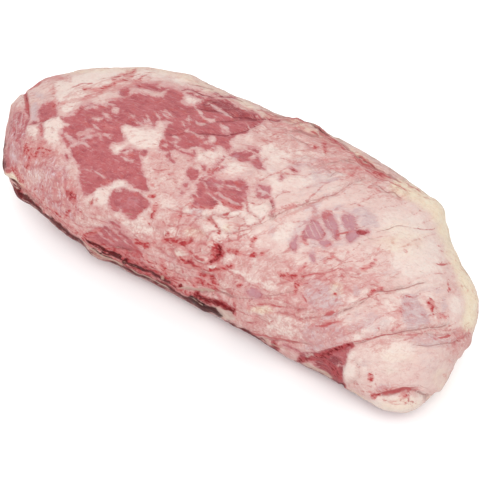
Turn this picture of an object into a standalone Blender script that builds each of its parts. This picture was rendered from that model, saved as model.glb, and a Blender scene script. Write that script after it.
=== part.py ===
"""A whole raw beef eye of round with its fat cover, lying on its flattened underside.

The muscle is one solid. Its long axis runs along X, with the slim rounded end at -X
and the broad blunt end at +X. The camera side of the photograph is -Y. Z is up, and
the origin is on the table, under the middle of the piece.

The form is a block of square cells that is wrapped round a row of cross-sections, then
swelled and pinched by a few named lumps and hollows. Units are metres.
"""

from dataclasses import dataclass

import bmesh
import bpy
import numpy as np
from mathutils import Matrix

# Driving dimensions
LENGTH = 0.300
WIDTH = 0.124
HEIGHT = 0.090

# Cells of the block: along the length, and across each side
CELLS_ALONG = 54
CELLS_ACROSS = 16
RELAX_PASSES = 4

# The ends close as superellipses. A higher power is a blunter end.
SLIM_END_POWER = 3.2
BROAD_END_POWER = 5.0
CLOSING_POWER = 2.1
# The share of the full section that the block's end faces start from
CAP_START = 0.62
# How square the sections are: 2 is an ellipse
SECTION_POWER = 2.25

RAW_FAT = (0.86, 0.66, 0.61, 1.0)


@dataclass(frozen=True)
class Section:
    """A cross-section of the muscle, as shares of the driving dimensions.

    at: place along the length, from 0 at the slim end to 1 at the broad end
    near: how far the side towards -Y lies from the axis, in widths
    far: how far the side towards +Y lies from the axis, in widths
    top: height of the upper side, in heights
    lift: height of the raw underside, in heights; below 0 it is pressed flat
    slant: how far the section leans back to -X for each step to +Y
    """

    at: float
    near: float
    far: float
    top: float
    lift: float
    slant: float


SECTIONS = (
    Section(at=0.00, near=0.45, far=0.38, top=0.90, lift=0.05, slant=-0.04),
    Section(at=0.15, near=0.46, far=0.42, top=0.98, lift=-0.06, slant=0.00),
    Section(at=0.35, near=0.43, far=0.48, top=1.00, lift=-0.13, slant=0.00),
    Section(at=0.60, near=0.42, far=0.54, top=0.97, lift=-0.14, slant=0.05),
    Section(at=0.80, near=0.45, far=0.52, top=0.92, lift=-0.14, slant=0.20),
    Section(at=1.00, near=0.50, far=0.44, top=0.82, lift=-0.10, slant=0.35),
)


@dataclass(frozen=True)
class Lump:
    """A round swelling, or a hollow where its rise is negative.

    centre: a point at or near the surface, in metres
    reach: distance over which the lump fades, in metres
    rise: how far the surface moves out at the centre, in metres
    """

    name: str
    centre: tuple[float, float, float]
    reach: float
    rise: float


LUMPS = (
    Lump("slim_end_near_corner", (-0.124, -0.046, 0.024), 0.020, 0.004),
    Lump("slim_end_near_face", (-0.145, -0.020, 0.050), 0.022, -0.003),
    Lump("slim_end_far_shoulder", (-0.128, 0.034, 0.060), 0.022, 0.001),
    Lump("small_near_bulge", (-0.056, -0.054, 0.016), 0.016, 0.003),
    Lump("far_shoulder", (-0.072, 0.048, 0.066), 0.028, 0.003),
    Lump("far_hollow", (-0.006, 0.060, 0.060), 0.024, -0.003),
    Lump("broad_end_far_corner", (0.100, 0.040, 0.058), 0.018, 0.005),
    Lump("broad_end_far_notch", (0.119, 0.036, 0.052), 0.014, -0.004),
    Lump("broad_end_bulge", (0.143, 0.012, 0.046), 0.022, 0.007),
    Lump("broad_end_near_notch", (0.152, -0.028, 0.032), 0.012, -0.004),
    Lump("broad_end_near_lobe", (0.140, -0.050, 0.016), 0.022, 0.008),
)


def along_sections(at, read):
    """A section value at each place, on a smooth curve through the sections."""
    places = np.array([section.at for section in SECTIONS])
    values = np.array([read(section) for section in SECTIONS])
    slopes = np.gradient(values, places)
    left = np.clip(np.searchsorted(places, at, side="right") - 1, 0, len(places) - 2)
    span = places[left + 1] - places[left]
    t = (at - places[left]) / span
    return (
        (2 * t**3 - 3 * t**2 + 1) * values[left]
        + (t**3 - 2 * t**2 + t) * span * slopes[left]
        + (3 * t**2 - 2 * t**3) * values[left + 1]
        + (t**3 - t**2) * span * slopes[left + 1]
    )


def signed_power(values, power):
    """Each value's size raised to a power, with its sign kept."""
    return np.sign(values) * np.abs(values) ** power


def end_power(side):
    """The closing power at each place: side is -1 at the slim end and 1 at the broad one."""
    share = (side + 1) / 2
    return SLIM_END_POWER + (BROAD_END_POWER - SLIM_END_POWER) * share


def closing_place(scale, sign):
    """How far out along the half length the section has shrunk to this scale."""
    return (1 - scale**CLOSING_POWER) ** (1 / end_power(sign))


def closing_scale(reach, sign):
    """The share of the full section at this place along the half length."""
    return (1 - reach ** end_power(sign)) ** (1 / CLOSING_POWER)


def on_disc(b, c):
    """The unit square's points moved onto the unit disc, as radii and angles."""
    across = b * np.sqrt(1 - c**2 / 2)
    upward = c * np.sqrt(1 - b**2 / 2)
    return np.hypot(across, upward), np.arctan2(upward, across)


def wrap_block(cells):
    """The surface points for the block's points, whose coordinates run from -1 to 1."""
    a, b, c = cells.T
    radius, angle = on_disc(b, c)
    sign = np.sign(a)
    on_cap = np.abs(a) > 1 - 1e-6
    first = closing_place(CAP_START, sign)
    scale = np.where(on_cap, radius * CAP_START, 0.0)
    reach = np.where(on_cap, closing_place(scale, sign), np.abs(a) * first)
    scale = np.where(on_cap, scale, closing_scale(reach, sign))

    at = (1 + sign * reach) / 2
    near = along_sections(at, lambda section: section.near) * WIDTH
    far = along_sections(at, lambda section: section.far) * WIDTH
    top = along_sections(at, lambda section: section.top) * HEIGHT
    lift = along_sections(at, lambda section: section.lift) * HEIGHT
    slant = along_sections(at, lambda section: section.slant)
    middle = (far - near) / 2
    core = (top + lift) / 2

    out = signed_power(np.cos(angle), 2 / SECTION_POWER)
    up = signed_power(np.sin(angle), 2 / SECTION_POWER)
    y = middle + scale * (near + far) / 2 * out
    z = core + scale * (top - core) * up
    x = sign * reach * LENGTH / 2 - slant * y
    return np.stack([x, y, z], axis=1)


def block_of_cells():
    """A cube cut into cells, as a bmesh with corners at -1 and 1."""
    block = bmesh.new()
    bmesh.ops.create_cube(block, size=2)
    for axis, cells in enumerate((CELLS_ALONG, CELLS_ACROSS, CELLS_ACROSS)):
        along = [
            edge
            for edge in block.edges
            if abs(edge.verts[0].co[axis] - edge.verts[1].co[axis]) > 1e-6
        ]
        bmesh.ops.subdivide_edges(block, edges=along, cuts=cells - 1, use_grid_fill=True)
    return block


def swell(points, normals):
    """The points moved out along their normals by the lumps."""
    for lump in LUMPS:
        away = np.linalg.norm(points - np.array(lump.centre), axis=1) / lump.reach
        points = points + normals * (lump.rise * np.exp(-(away**2)))[:, None]
    return points


def vertex_rows(block, read):
    """What read gives for each vertex, as an array with three columns."""
    return np.array([tuple(read(vertex)) for vertex in block.verts])


def place(block, points):
    """Moves each vertex of the block to its point."""
    for vertex, point in zip(block.verts, points):
        vertex.co = point
    block.normal_update()


def relax(block):
    """Evens out the cells, most of all at the corners of the block's ends."""
    for _ in range(RELAX_PASSES):
        bmesh.ops.smooth_vert(
            block,
            verts=block.verts,
            factor=0.5,
            use_axis_x=True,
            use_axis_y=True,
            use_axis_z=True,
        )
    block.normal_update()


def pressed_flat(points):
    """The points with everything below the table laid on it."""
    points = points.copy()
    points[:, 2] = np.maximum(points[:, 2], 0.0)
    return points


def sized(points):
    """The points brought to the driving dimensions, centred over the origin."""
    low, high = points.min(axis=0), points.max(axis=0)
    middle = (low + high) / 2
    middle[2] = low[2]
    return (points - middle) * np.array([LENGTH, WIDTH, HEIGHT]) / (high - low)


def meat_material():
    """Pale pink fat and membrane over the muscle."""
    material = bpy.data.materials.new("raw_beef")
    material.use_nodes = True
    surface = material.node_tree.nodes["Principled BSDF"]
    surface.inputs["Base Color"].default_value = RAW_FAT
    surface.inputs["Roughness"].default_value = 0.45
    surface.inputs["Metallic"].default_value = 0.0
    return material


def eye_of_round():
    """The whole muscle as one closed object."""
    block = block_of_cells()
    place(block, wrap_block(vertex_rows(block, lambda vertex: vertex.co)))
    relax(block)
    swelled = swell(
        vertex_rows(block, lambda vertex: vertex.co),
        vertex_rows(block, lambda vertex: vertex.normal),
    )
    place(block, sized(pressed_flat(swelled)))
    bmesh.ops.recalc_face_normals(block, faces=block.faces)

    mesh = bpy.data.meshes.new("eye_of_round")
    block.to_mesh(mesh)
    block.free()
    mesh.shade_smooth()
    mesh.materials.append(meat_material())
    piece = bpy.data.objects.new("eye_of_round", mesh)
    piece.matrix_world = Matrix.Identity(4)
    bpy.context.scene.collection.objects.link(piece)
    return piece


def main():
    for leftover in list(bpy.data.objects):
        bpy.data.objects.remove(leftover)
    eye_of_round()


main()
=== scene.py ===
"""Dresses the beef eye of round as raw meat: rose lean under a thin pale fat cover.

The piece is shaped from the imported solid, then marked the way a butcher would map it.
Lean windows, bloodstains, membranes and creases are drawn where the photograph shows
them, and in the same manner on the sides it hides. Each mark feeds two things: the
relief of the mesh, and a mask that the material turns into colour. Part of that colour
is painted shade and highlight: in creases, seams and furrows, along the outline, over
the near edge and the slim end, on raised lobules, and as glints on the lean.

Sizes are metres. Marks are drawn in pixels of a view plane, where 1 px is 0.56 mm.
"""

import logging
from dataclasses import dataclass
from enum import Enum

import bpy
import numpy as np
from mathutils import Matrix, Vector


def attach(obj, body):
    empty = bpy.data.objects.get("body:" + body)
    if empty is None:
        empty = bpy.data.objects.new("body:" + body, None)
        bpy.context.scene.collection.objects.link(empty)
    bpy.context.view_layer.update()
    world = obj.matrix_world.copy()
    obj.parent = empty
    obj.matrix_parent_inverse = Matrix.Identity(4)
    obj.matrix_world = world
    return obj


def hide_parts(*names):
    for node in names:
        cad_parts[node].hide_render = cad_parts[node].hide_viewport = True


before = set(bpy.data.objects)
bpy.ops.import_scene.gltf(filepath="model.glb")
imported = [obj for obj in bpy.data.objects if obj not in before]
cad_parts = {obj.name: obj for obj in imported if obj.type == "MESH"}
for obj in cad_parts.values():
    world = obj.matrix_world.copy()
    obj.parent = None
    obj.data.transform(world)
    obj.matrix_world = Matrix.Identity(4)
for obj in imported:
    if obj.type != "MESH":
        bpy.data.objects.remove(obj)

# Short names for types
Socket = bpy.types.NodeSocket
Tree = bpy.types.NodeTree
Thing = bpy.types.Object

LOG = logging.getLogger("eye_of_round")

NODE = "eye_of_round"
FRAME_PX = 480
SENSOR_MM = 36.0
MM_PER_PX = 0.56
# Lines below this width are finer than the mesh
THREAD_PX = 2.45
# How far marks wander from their drawn course
WANDER_PX = 0.45
# How far around its points a mark may still be felt
REACH_PX = 8
# Shares of an oval's radius where it starts to fade and where it ends, and a safe bound
OVAL_FADE, OVAL_BOUND = (0.35, 1.45), 1.8
# How softly a line ends at its sides: a share of its width, and pixels
LINE_FADE = (0.8, 2.4)
# Ends the name of an attribute that tells a line's two sides apart
SIDE = "_side"
# How far to its sides a thread is told apart, in half widths
SIDE_LIMIT = 4.0
# How far past its sides a thread fades out, in pixels
THREAD_FADE = (1.6, 4.0)
# What is left of a thread at its tips, and how far from them it is whole, in pixels
TIP, TIP_PX = 0.35, 5.0
# Depth in millimetres that is told apart on both sides of a window's rim
DEPTH_LIMIT_MM = 6.0
# Depth of the lean underside, well inside a window
UNDER_MM = 3.0
# How squarely a side is faced where it starts to count and where it counts in full
SHOWN = (-0.22, -0.02)
DOWNWARDS = (0.75, 0.95)
NEARWARDS = (0.2, 0.6)
# Random cells along a side of the table that scatters lobules
TABLE = 64
# How crooked lobules lie, in pixels, and how strongly they show on the hidden side
LOBULE_BEND, HIDDEN_LOBULES = 3.0, 0.3

# Moves the noise of each coat and of the pores, so that no two patterns line up
COAT_SHIFT, PORE_SHIFT = 0.37, 0.2

# The cross-section of a crease, in shares of its width and depth
FURROW_STEEPNESS, LIP_STEEPNESS = 1.7, 1.8
LIP_PLACE, LIP_HEIGHT = 1.2, 0.35

# Creases of this many points or more have a fainter one beside them, drawn by the seed
MANY_POINTS, WRINKLE_SEED = 4, 5
# Steps of a vertex group's weights
WEIGHT_STEPS = 250

MATH = "ShaderNodeMath"
MIX = "ShaderNodeMix"


# ---- small helpers


def linear(code: str) -> tuple[float, float, float, float]:
    """Turns an sRGB hex colour into a linear one.

    Args:
        code: Six hex digits.

    Returns:
        Red, green, blue and an alpha of 1, as Cycles reads them.
    """
    parts = [int(code[i : i + 2], 16) / 255 for i in (0, 2, 4)]
    curve = [p / 12.92 if p <= 0.04045 else ((p + 0.055) / 1.055) ** 2.4 for p in parts]
    return (*curve, 1.0)


def add_node(
    tree: Tree, kind: str, settings: dict | None = None, sockets: dict | None = None, out: int | str = 0
) -> Socket:
    """Adds a node with its settings and links.

    Args:
        tree: The node tree that it goes in.
        kind: The node's type name.
        settings: Values for the node's own properties.
        sockets: For each input, a value or the output that feeds it.
        out: Which output to give back.

    Returns:
        The chosen output socket.
    """
    made = tree.nodes.new(kind)
    for name, value in (settings or {}).items():
        setattr(made, name, value)
    for key, value in (sockets or {}).items():
        if isinstance(value, Socket):
            tree.links.new(value, made.inputs[key])
        else:
            made.inputs[key].default_value = value
    return made.outputs[out]


def eased(values: np.ndarray, start: float, full: float) -> np.ndarray:
    """Eases values from 0 at start to 1 at full."""
    t = np.clip((values - start) / (full - start), 0.0, 1.0)
    return t * t * (3.0 - 2.0 * t)


def bent(spots: np.ndarray, reach: float) -> np.ndarray:
    """Moves spots on a plane to and fro by about the reach, over 10 to 60 px.

    Args:
        spots: Points of the plane, one a row.
        reach: How far they move.

    Returns:
        The moved spots.
    """
    x, y = spots.T
    shift_x = np.sin(y / 6.1 + 1.3 * np.sin(x / 9.7)) + 0.8 * np.sin(y / 17.0 + x / 23.0)
    shift_y = np.sin(x / 7.3 + 1.3 * np.sin(y / 8.9)) + 0.8 * np.sin(x / 19.0 - y / 13.0)
    return spots + reach / 1.8 * np.stack([shift_x, shift_y], 1)


def cells(
    spots: np.ndarray, size: tuple[float, float], turn: float, seed: int
) -> tuple[np.ndarray, np.ndarray]:
    """Scatters cells over a plane, as the lobules of fat lie.

    Args:
        spots: Points of the plane, one a row.
        size: Length and width of a cell.
        turn: Degrees from the plane's x to the cells' length.
        seed: Which scatter.

    Returns:
        How far in from its seam each spot lies, from 0 to about 1, and a random
        number for the cell that it lies in.
    """
    a = np.radians(turn)
    along = spots @ np.array([np.cos(a), np.sin(a)]) / size[0]
    across = spots @ np.array([-np.sin(a), np.cos(a)]) / size[1]
    grid = np.stack([along, across], 1)
    home = np.floor(grid).astype(int)
    table = np.random.default_rng(seed).random((TABLE, TABLE, 3))
    first, second = np.full(len(grid), 9.0), np.full(len(grid), 9.0)
    tone = np.zeros(len(grid))
    for step_x in (-1, 0, 1):
        for step_y in (-1, 0, 1):
            cell = home + (step_x, step_y)
            drawn = table[cell[:, 0] % TABLE, cell[:, 1] % TABLE]
            # each lobule's core keeps a tenth clear of the borders of its cell
            gap = np.linalg.norm(cell + 0.1 + 0.8 * drawn[:, :2] - grid, axis=1)
            nearer = gap < first
            second = np.where(nearer, first, np.minimum(second, gap))
            tone = np.where(nearer, drawn[:, 2], tone)
            first = np.where(nearer, gap, first)
    return second - first, tone


def only_selected(piece: Thing) -> None:
    """Selects one object and makes it active.

    Args:
        piece: The object.
    """
    bpy.ops.object.select_all(action="DESELECT")
    piece.select_set(True)
    bpy.context.view_layer.objects.active = piece


def apply_modifier(piece: Thing, kind: str, **settings: object) -> None:
    """Adds a modifier, sets it up and applies it.

    Args:
        piece: The object that it shapes.
        kind: The modifier's type name.
        **settings: Values for the modifier's own properties.
    """
    only_selected(piece)
    made = piece.modifiers.new(kind.lower(), kind)
    for name, value in settings.items():
        setattr(made, name, value)
    bpy.ops.object.modifier_apply(modifier=made.name)


# ---- view planes


@dataclass(frozen=True)
class ViewPlane:
    """A camera's picture plane, on which marks are drawn in pixels."""

    azimuth: float
    elevation: float
    target: tuple[float, float, float]
    distance: float
    lens_mm: float

    def axes(self) -> tuple[np.ndarray, np.ndarray, np.ndarray]:
        """Works out how the picture is turned.

        Returns:
            The directions to the right, upwards and back towards the camera.
        """
        a, e = np.radians(self.azimuth), np.radians(self.elevation)
        back = np.array([np.sin(a) * np.cos(e), -np.cos(a) * np.cos(e), np.sin(e)])
        right = np.array([np.cos(a), np.sin(a), 0.0])
        return right, np.cross(back, right), back

    def position(self) -> np.ndarray:
        """Where the camera stands."""
        return np.array(self.target) + self.axes()[2] * self.distance

    def pixels(self, points: np.ndarray) -> np.ndarray:
        """Projects points onto the picture.

        Args:
            points: World points, one a row.

        Returns:
            Pixel coordinates, with y downwards.
        """
        right, up, back = self.axes()
        away = points - self.position()
        focal = self.lens_mm / SENSOR_MM * FRAME_PX / -(away @ back)
        half = FRAME_PX / 2
        return np.stack([half + focal * (away @ right), half - focal * (away @ up)], 1)

    def wandering(self, points: np.ndarray) -> np.ndarray:
        """Pixels that wander by about 1 px, so that no mark is drawn with a steady hand.

        Args:
            points: World points, one a row.

        Returns:
            Their pixels, moved a little.
        """
        spots = self.pixels(points)
        x, y = spots.T
        shift_x = np.sin(y / 3.1 + np.sin(x / 5.3) * 1.7) + np.sin(y / 7.3 + x / 9.1)
        shift_y = np.sin(x / 3.7 + np.sin(y / 4.9) * 1.7) + np.sin(x / 8.3 - y / 6.7)
        return spots + WANDER_PX * np.stack([shift_x, shift_y], 1)

    def facing(self, points: np.ndarray, normals: np.ndarray) -> np.ndarray:
        """How squarely each point faces the camera, from -1 to 1."""
        away = self.position() - points
        return np.sum(normals * away, axis=1) / np.linalg.norm(away, axis=1)


PHOTO = ViewPlane(34.3, 47.0, (0.00175, -0.0042, 0.018), 1.0, 134.0)
BEHIND = ViewPlane(214.3, 12.0, (0.0, 0.0, 0.040), 1.0, 134.0)


# ---- marks


class Layer(Enum):
    """What a mark lays on the meat. The value names the mesh attribute."""

    LEAN = "lean"
    DEEP = "deep"
    VEIL = "veil"
    ROSE = "rose"
    SEAM = "seam"
    FIBRE = "fibre"
    BLOOD = "blood"
    CLOT = "clot"
    DRIED = "dried"
    IVORY = "ivory"
    PALE = "pale"
    SILVER = "silver"
    CREASE = "crease"
    VEIN = "vein"
    SINEW = "sinew"
    TEAR = "tear"
    RIDGE = "ridge"
    BARK = "outline_shade"
    EDGE = "edge"
    SMOOTH = "smooth"
    UNDER = "under"


# A path is written as its points in pixels: "x,y x,y x,y"
Path = str


def dots(path: Path) -> np.ndarray:
    """The points of a path, one a row."""
    return np.array([dot.split(",") for dot in path.split()], dtype=float)


def rounded(path: Path, closed: bool) -> np.ndarray:
    """Cuts the corners of an outline or a path twice, so it runs smoothly.

    Args:
        path: The path or the outline.
        closed: Whether it is an outline.

    Returns:
        Its smoother points, one a row.
    """
    points = dots(path)
    for _ in range(2):
        if not closed and len(points) < 3:
            break
        after = np.roll(points, -1, axis=0)
        cuts = [points * 0.75 + after * 0.25, points * 0.25 + after * 0.75]
        cut = np.stack(cuts, 1).reshape(-1, 2)
        # an open course keeps its tips, and nothing joins the last point to the first
        points = cut if closed else np.vstack([points[:1], cut[1:-3], points[-1:]])
    return points


def beside(path: np.ndarray, spots: np.ndarray) -> tuple[np.ndarray, np.ndarray]:
    """Finds how far each spot lies to the side of a chain of segments.

    Args:
        path: The chain's points.
        spots: The spots.

    Returns:
        The distance, positive on the chain's right, and the distance to its nearer end.
    """
    nearest = np.full(len(spots), np.inf)
    signed = nearest.copy()
    for start, end in zip(path[:-1], path[1:]):
        run = end - start
        away = spots - start
        t = np.clip(away @ run / max(float(run @ run), 1e-9), 0.0, 1.0)
        gap = np.linalg.norm(away - t[:, None] * run, axis=1)
        side = np.where(run[0] * away[:, 1] < run[1] * away[:, 0], -1.0, 1.0)
        signed = np.where(gap < nearest, gap * side, signed)
        nearest = np.minimum(nearest, gap)
    ends = [np.linalg.norm(spots - tip, axis=1) for tip in (path[0], path[-1])]
    return signed, np.minimum(*ends)


def distance_to(path: np.ndarray, spots: np.ndarray) -> np.ndarray:
    """The distance from each spot to a chain of segments."""
    return np.abs(beside(path, spots)[0])


@dataclass(frozen=True)
class Area:
    """A closed area, drawn by its outline."""

    outline: Path
    strength: float = 1.0
    soft: float = 3.0

    def box(self) -> tuple[np.ndarray, np.ndarray]:
        """The lowest and highest pixel that the area touches."""
        points = dots(self.outline)
        return points.min(axis=0) - REACH_PX, points.max(axis=0) + REACH_PX

    def inside(self, spots: np.ndarray) -> np.ndarray:
        """Measures how deep each spot lies in the area.

        Args:
            spots: The spots, one a row.

        Returns:
            Distance in from the outline in pixels, negative outside.
        """
        ring = rounded(self.outline, True)
        closed = np.vstack([ring, ring[:1]])
        gap = distance_to(closed, spots)
        within = np.zeros(len(spots), dtype=bool)
        for (x0, y0), (x1, y1) in zip(closed[:-1], closed[1:]):
            spans = (y0 > spots[:, 1]) != (y1 > spots[:, 1])
            rise = y1 - y0 if y1 != y0 else 1e-9
            cross = x0 + (spots[:, 1] - y0) / rise * (x1 - x0)
            within ^= spans & (spots[:, 0] < cross)
        return np.where(within, gap, -gap)

    def amount(self, spots: np.ndarray) -> np.ndarray:
        """How much of the mark lies on each spot."""
        return self.strength * eased(self.inside(spots), -self.soft, self.soft)


@dataclass(frozen=True)
class Line:
    """A line of a given width, such as a vein, a fibre or a crease."""

    path: Path
    width: float = 2.0
    strength: float = 1.0

    def box(self) -> tuple[np.ndarray, np.ndarray]:
        """Bounds the line.

        Returns:
            The lowest and highest pixel that it touches.
        """
        points = dots(self.path)
        reach = self.width * 2 + REACH_PX
        return points.min(axis=0) - reach, points.max(axis=0) + reach

    def inside(self, spots: np.ndarray) -> np.ndarray:
        """Distance in from the line's sides in pixels, negative outside."""
        path = rounded(self.path, False)
        return self.width / 2 - distance_to(path, spots)

    def amount(self, spots: np.ndarray) -> np.ndarray:
        """Fades the line out beyond its sides.

        Args:
            spots: The spots, one a row.

        Returns:
            How much of the mark lies on each spot.
        """
        away = self.width / 2 - self.inside(spots)
        fade = self.width * LINE_FADE[0] + LINE_FADE[1]
        return self.strength * (1.0 - eased(away, 0.0, fade))


@dataclass(frozen=True)
class Spot:
    """An oval, soft towards its rim.

    x, y: its centre in pixels
    long, wide: its half length and half width
    turn: degrees from the picture's x to its length
    """

    x: float
    y: float
    long: float
    wide: float
    strength: float = 1.0
    turn: float = 0.0

    def box(self) -> tuple[np.ndarray, np.ndarray]:
        """Bounds the spot.

        Returns:
            The lowest and highest pixel that it touches.
        """
        centre = np.array([self.x, self.y])
        reach = max(self.long, self.wide) * OVAL_BOUND + REACH_PX / 2
        return centre - reach, centre + reach

    def share(self, spots: np.ndarray) -> np.ndarray:
        """Measures how far out each spot of the plane lies.

        Args:
            spots: The spots, one a row.

        Returns:
            Distance from the centre as a share of the oval's radius.
        """
        a = np.radians(self.turn)
        away = spots - np.array([self.x, self.y])
        along = away @ np.array([np.cos(a), np.sin(a)])
        across = away @ np.array([-np.sin(a), np.cos(a)])
        return np.hypot(along / self.long, across / self.wide)

    def inside(self, spots: np.ndarray) -> np.ndarray:
        """Distance in from the oval's rim in pixels, negative outside."""
        return (1.0 - self.share(spots)) * min(self.long, self.wide)

    def amount(self, spots: np.ndarray) -> np.ndarray:
        """How much of the mark lies on each spot."""
        return self.strength * (1.0 - eased(self.share(spots), *OVAL_FADE))


Mark = Area | Line | Spot

# Windows in the fat cover that show the lean, as the photograph has them
LEAN_WINDOWS: tuple[Path, ...] = (
    # the slim end
    "39,106 44,105 46,103 50,102 55,102 57,108 58,114 56,118 50,118 44,121 40,122 38,115",
    "9,124 13,118 18,113 23,112 24,118 22,128 20,142 16,142 13,132 10,128",
    "5,156 8,153 10,160 11,168 7,169 5,163", "63,156 65,153 68,155 68,160 65,161",
    # the upper band with the left patch, and small ones around it
    ("59,118 66,117 72,114 79,110 80,106 86,104 91,104 95,106 100,104 108,104 114,106 118,105 112,103 "
     "108,101 113,99 121,98 128,96 133,94 140,93 147,95 155,97 163,97 165,92 170,89 177,90 183,93 "
     "183,97 182,101 187,105 192,106 198,103 203,99 208,97 216,98 226,100 234,103 240,108 248,110 "
     "256,111 257,115 262,118 264,122 257,125 250,127 249,131 246,134 240,133 236,136 233,141 231,147 "
     "228,151 225,146 216,145 210,146 205,150 200,147 193,147 184,149 177,146 174,142 165,140 165,137 "
     "163,131 167,126 175,123 167,121 158,120 155,126 151,125 148,121 143,125 136,126 128,124 121,125 "
     "121,131 122,136 127,141 118,142 112,140 108,147 112,153 117,156 121,150 128,148 134,149 139,150 "
     "140,158 141,165 144,174 147,180 146,185 148,191 143,193 134,188 128,182 120,179 113,180 108,184 "
     "99,187 95,190 92,194 87,196 84,194 82,187 79,180 80,172 77,164 72,157 69,148 67,144 63,140 61,134 "
     "59,132 64,128 70,125 65,122"),
    ("108,205 111,199 110,195 114,191 119,191 122,188 130,191 136,192 142,197 148,201 150,205 145,208 "
     "140,212 138,216 136,220 131,219 126,216 121,213 119,209 115,211 111,209"),
    "119,93 121,89 126,88 131,89 129,94 125,97 121,97",
    "134,84 142,81 150,83 160,86 172,88 160,90 148,89 140,88", "140,151 145,150 147,154 144,157 140,155",
    "161,141 163,138 168,141 177,146 180,149 174,149 170,151 165,151 161,149",
    "165,153 170,152 172,156 175,162 171,163 168,159 165,156",
    "174,148 180,150 187,151 191,154 194,152 196,157 190,157 182,153", "212,147 216,148 215,150 213,150",
    "186,174 187,169 191,168 194,167 198,170 199,176 197,181 192,182 188,181 190,178",
    "183,186 186,183 190,184 189,188 186,189", "181,189 183,192 184,195 181,194",
    "190,194 194,193 197,197 196,200 193,198", "201,163 205,165 207,169 203,169 202,166",
    "246,146 250,147 255,146 259,150 258,153 253,151 249,149",
    ("228,153 233,151 240,152 246,151 252,152 257,155 260,160 263,163 262,167 266,170 259,169 254,165 "
     "251,161 245,160 239,160 236,156 232,155"),
    # the centre, and flecks to its right
    ("199,206 193,206 192,202 198,199 196,194 196,187 199,182 205,178 210,175 214,175 217,180 224,181 "
     "232,180 240,180 246,182 247,188 245,194 244,199 240,203 242,208 236,210 230,207 226,203 220,201 "
     "214,207 207,208"),
    "255,188 259,185 264,186 269,187 271,192 271,197 263,199 257,199",
    "289,168 292,166 295,169 299,171 296,173 292,172", "279,178 282,176 283,180 280,180",
    # the four bars
    "313,217 318,219 322,226 325,236 322,240 314,240 308,238 303,241 303,236 306,229 309,222",
    "321,215 325,211 330,212 335,218 338,227 340,238 338,241 334,237 329,229 324,222",
    "342,217 346,213 352,214 357,221 359,230 352,232 345,229",
    "346,233 356,231 360,229 368,229 370,231 365,235 359,236 355,240 351,244 347,239",
    "319,243 325,240 332,242 331,247 325,248", "296,233 299,237 297,243 296,250 290,250 292,242",
    "309,252 314,254 316,262 312,259",
    # the near edge
    ("298,353 306,353 314,352 322,351 335,347 352,343 350,350 346,357 344,363 342,371 341,377 344,386 "
     "337,384 330,380 323,374 316,368 313,362 300,361"),
    ("84,234 92,231 98,228 104,225 112,227 119,229 126,236 133,240 138,246 142,255 140,262 150,268 "
     "160,272 166,280 150,278 130,264 112,254 98,245 88,240"),
    "246,289 254,288 262,293 262,298 254,297 248,297",
)

# Fibres of lean between the windows
LEAN_FIBRES: tuple[Mark, ...] = (
    Line("11,128 9,138 8,150 8,160", 1.8), Line("26,108 28,116 25,126 23,136", 2.6),
    Line("39,121 41,128 42,136", 2.2), Line("31,123 40,121", 1.6), Line("20,142 20,150", 1.4),
    Line("182,90 188,88 196,92 205,94 212,97", 1.5), Line("186,93 196,96 206,98", 1.3),
    Line("214,94 222,97 236,98", 1.6), Line("160,149 161,143", 1.6), Line("226,166 218,170 210,174", 1.3),
    Line("219,163 214,169 209,173", 1.6), Line("224,156 219,163", 1), Line("200,181 206,176 210,173", 1.4),
    Line("247,184 247,194 243,201", 1.6), Line("262,118 272,119 280,121", 1.5),
    Line("272,199 274,206 272,213", 1.4), Line("303,234 305,240", 2.2),
    Line("300,353 292,349 284,345", 1.4), Line("100,238 112,246 122,252", 2.2),
    Line("108,222 118,226 126,232", 2),
)

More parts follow.
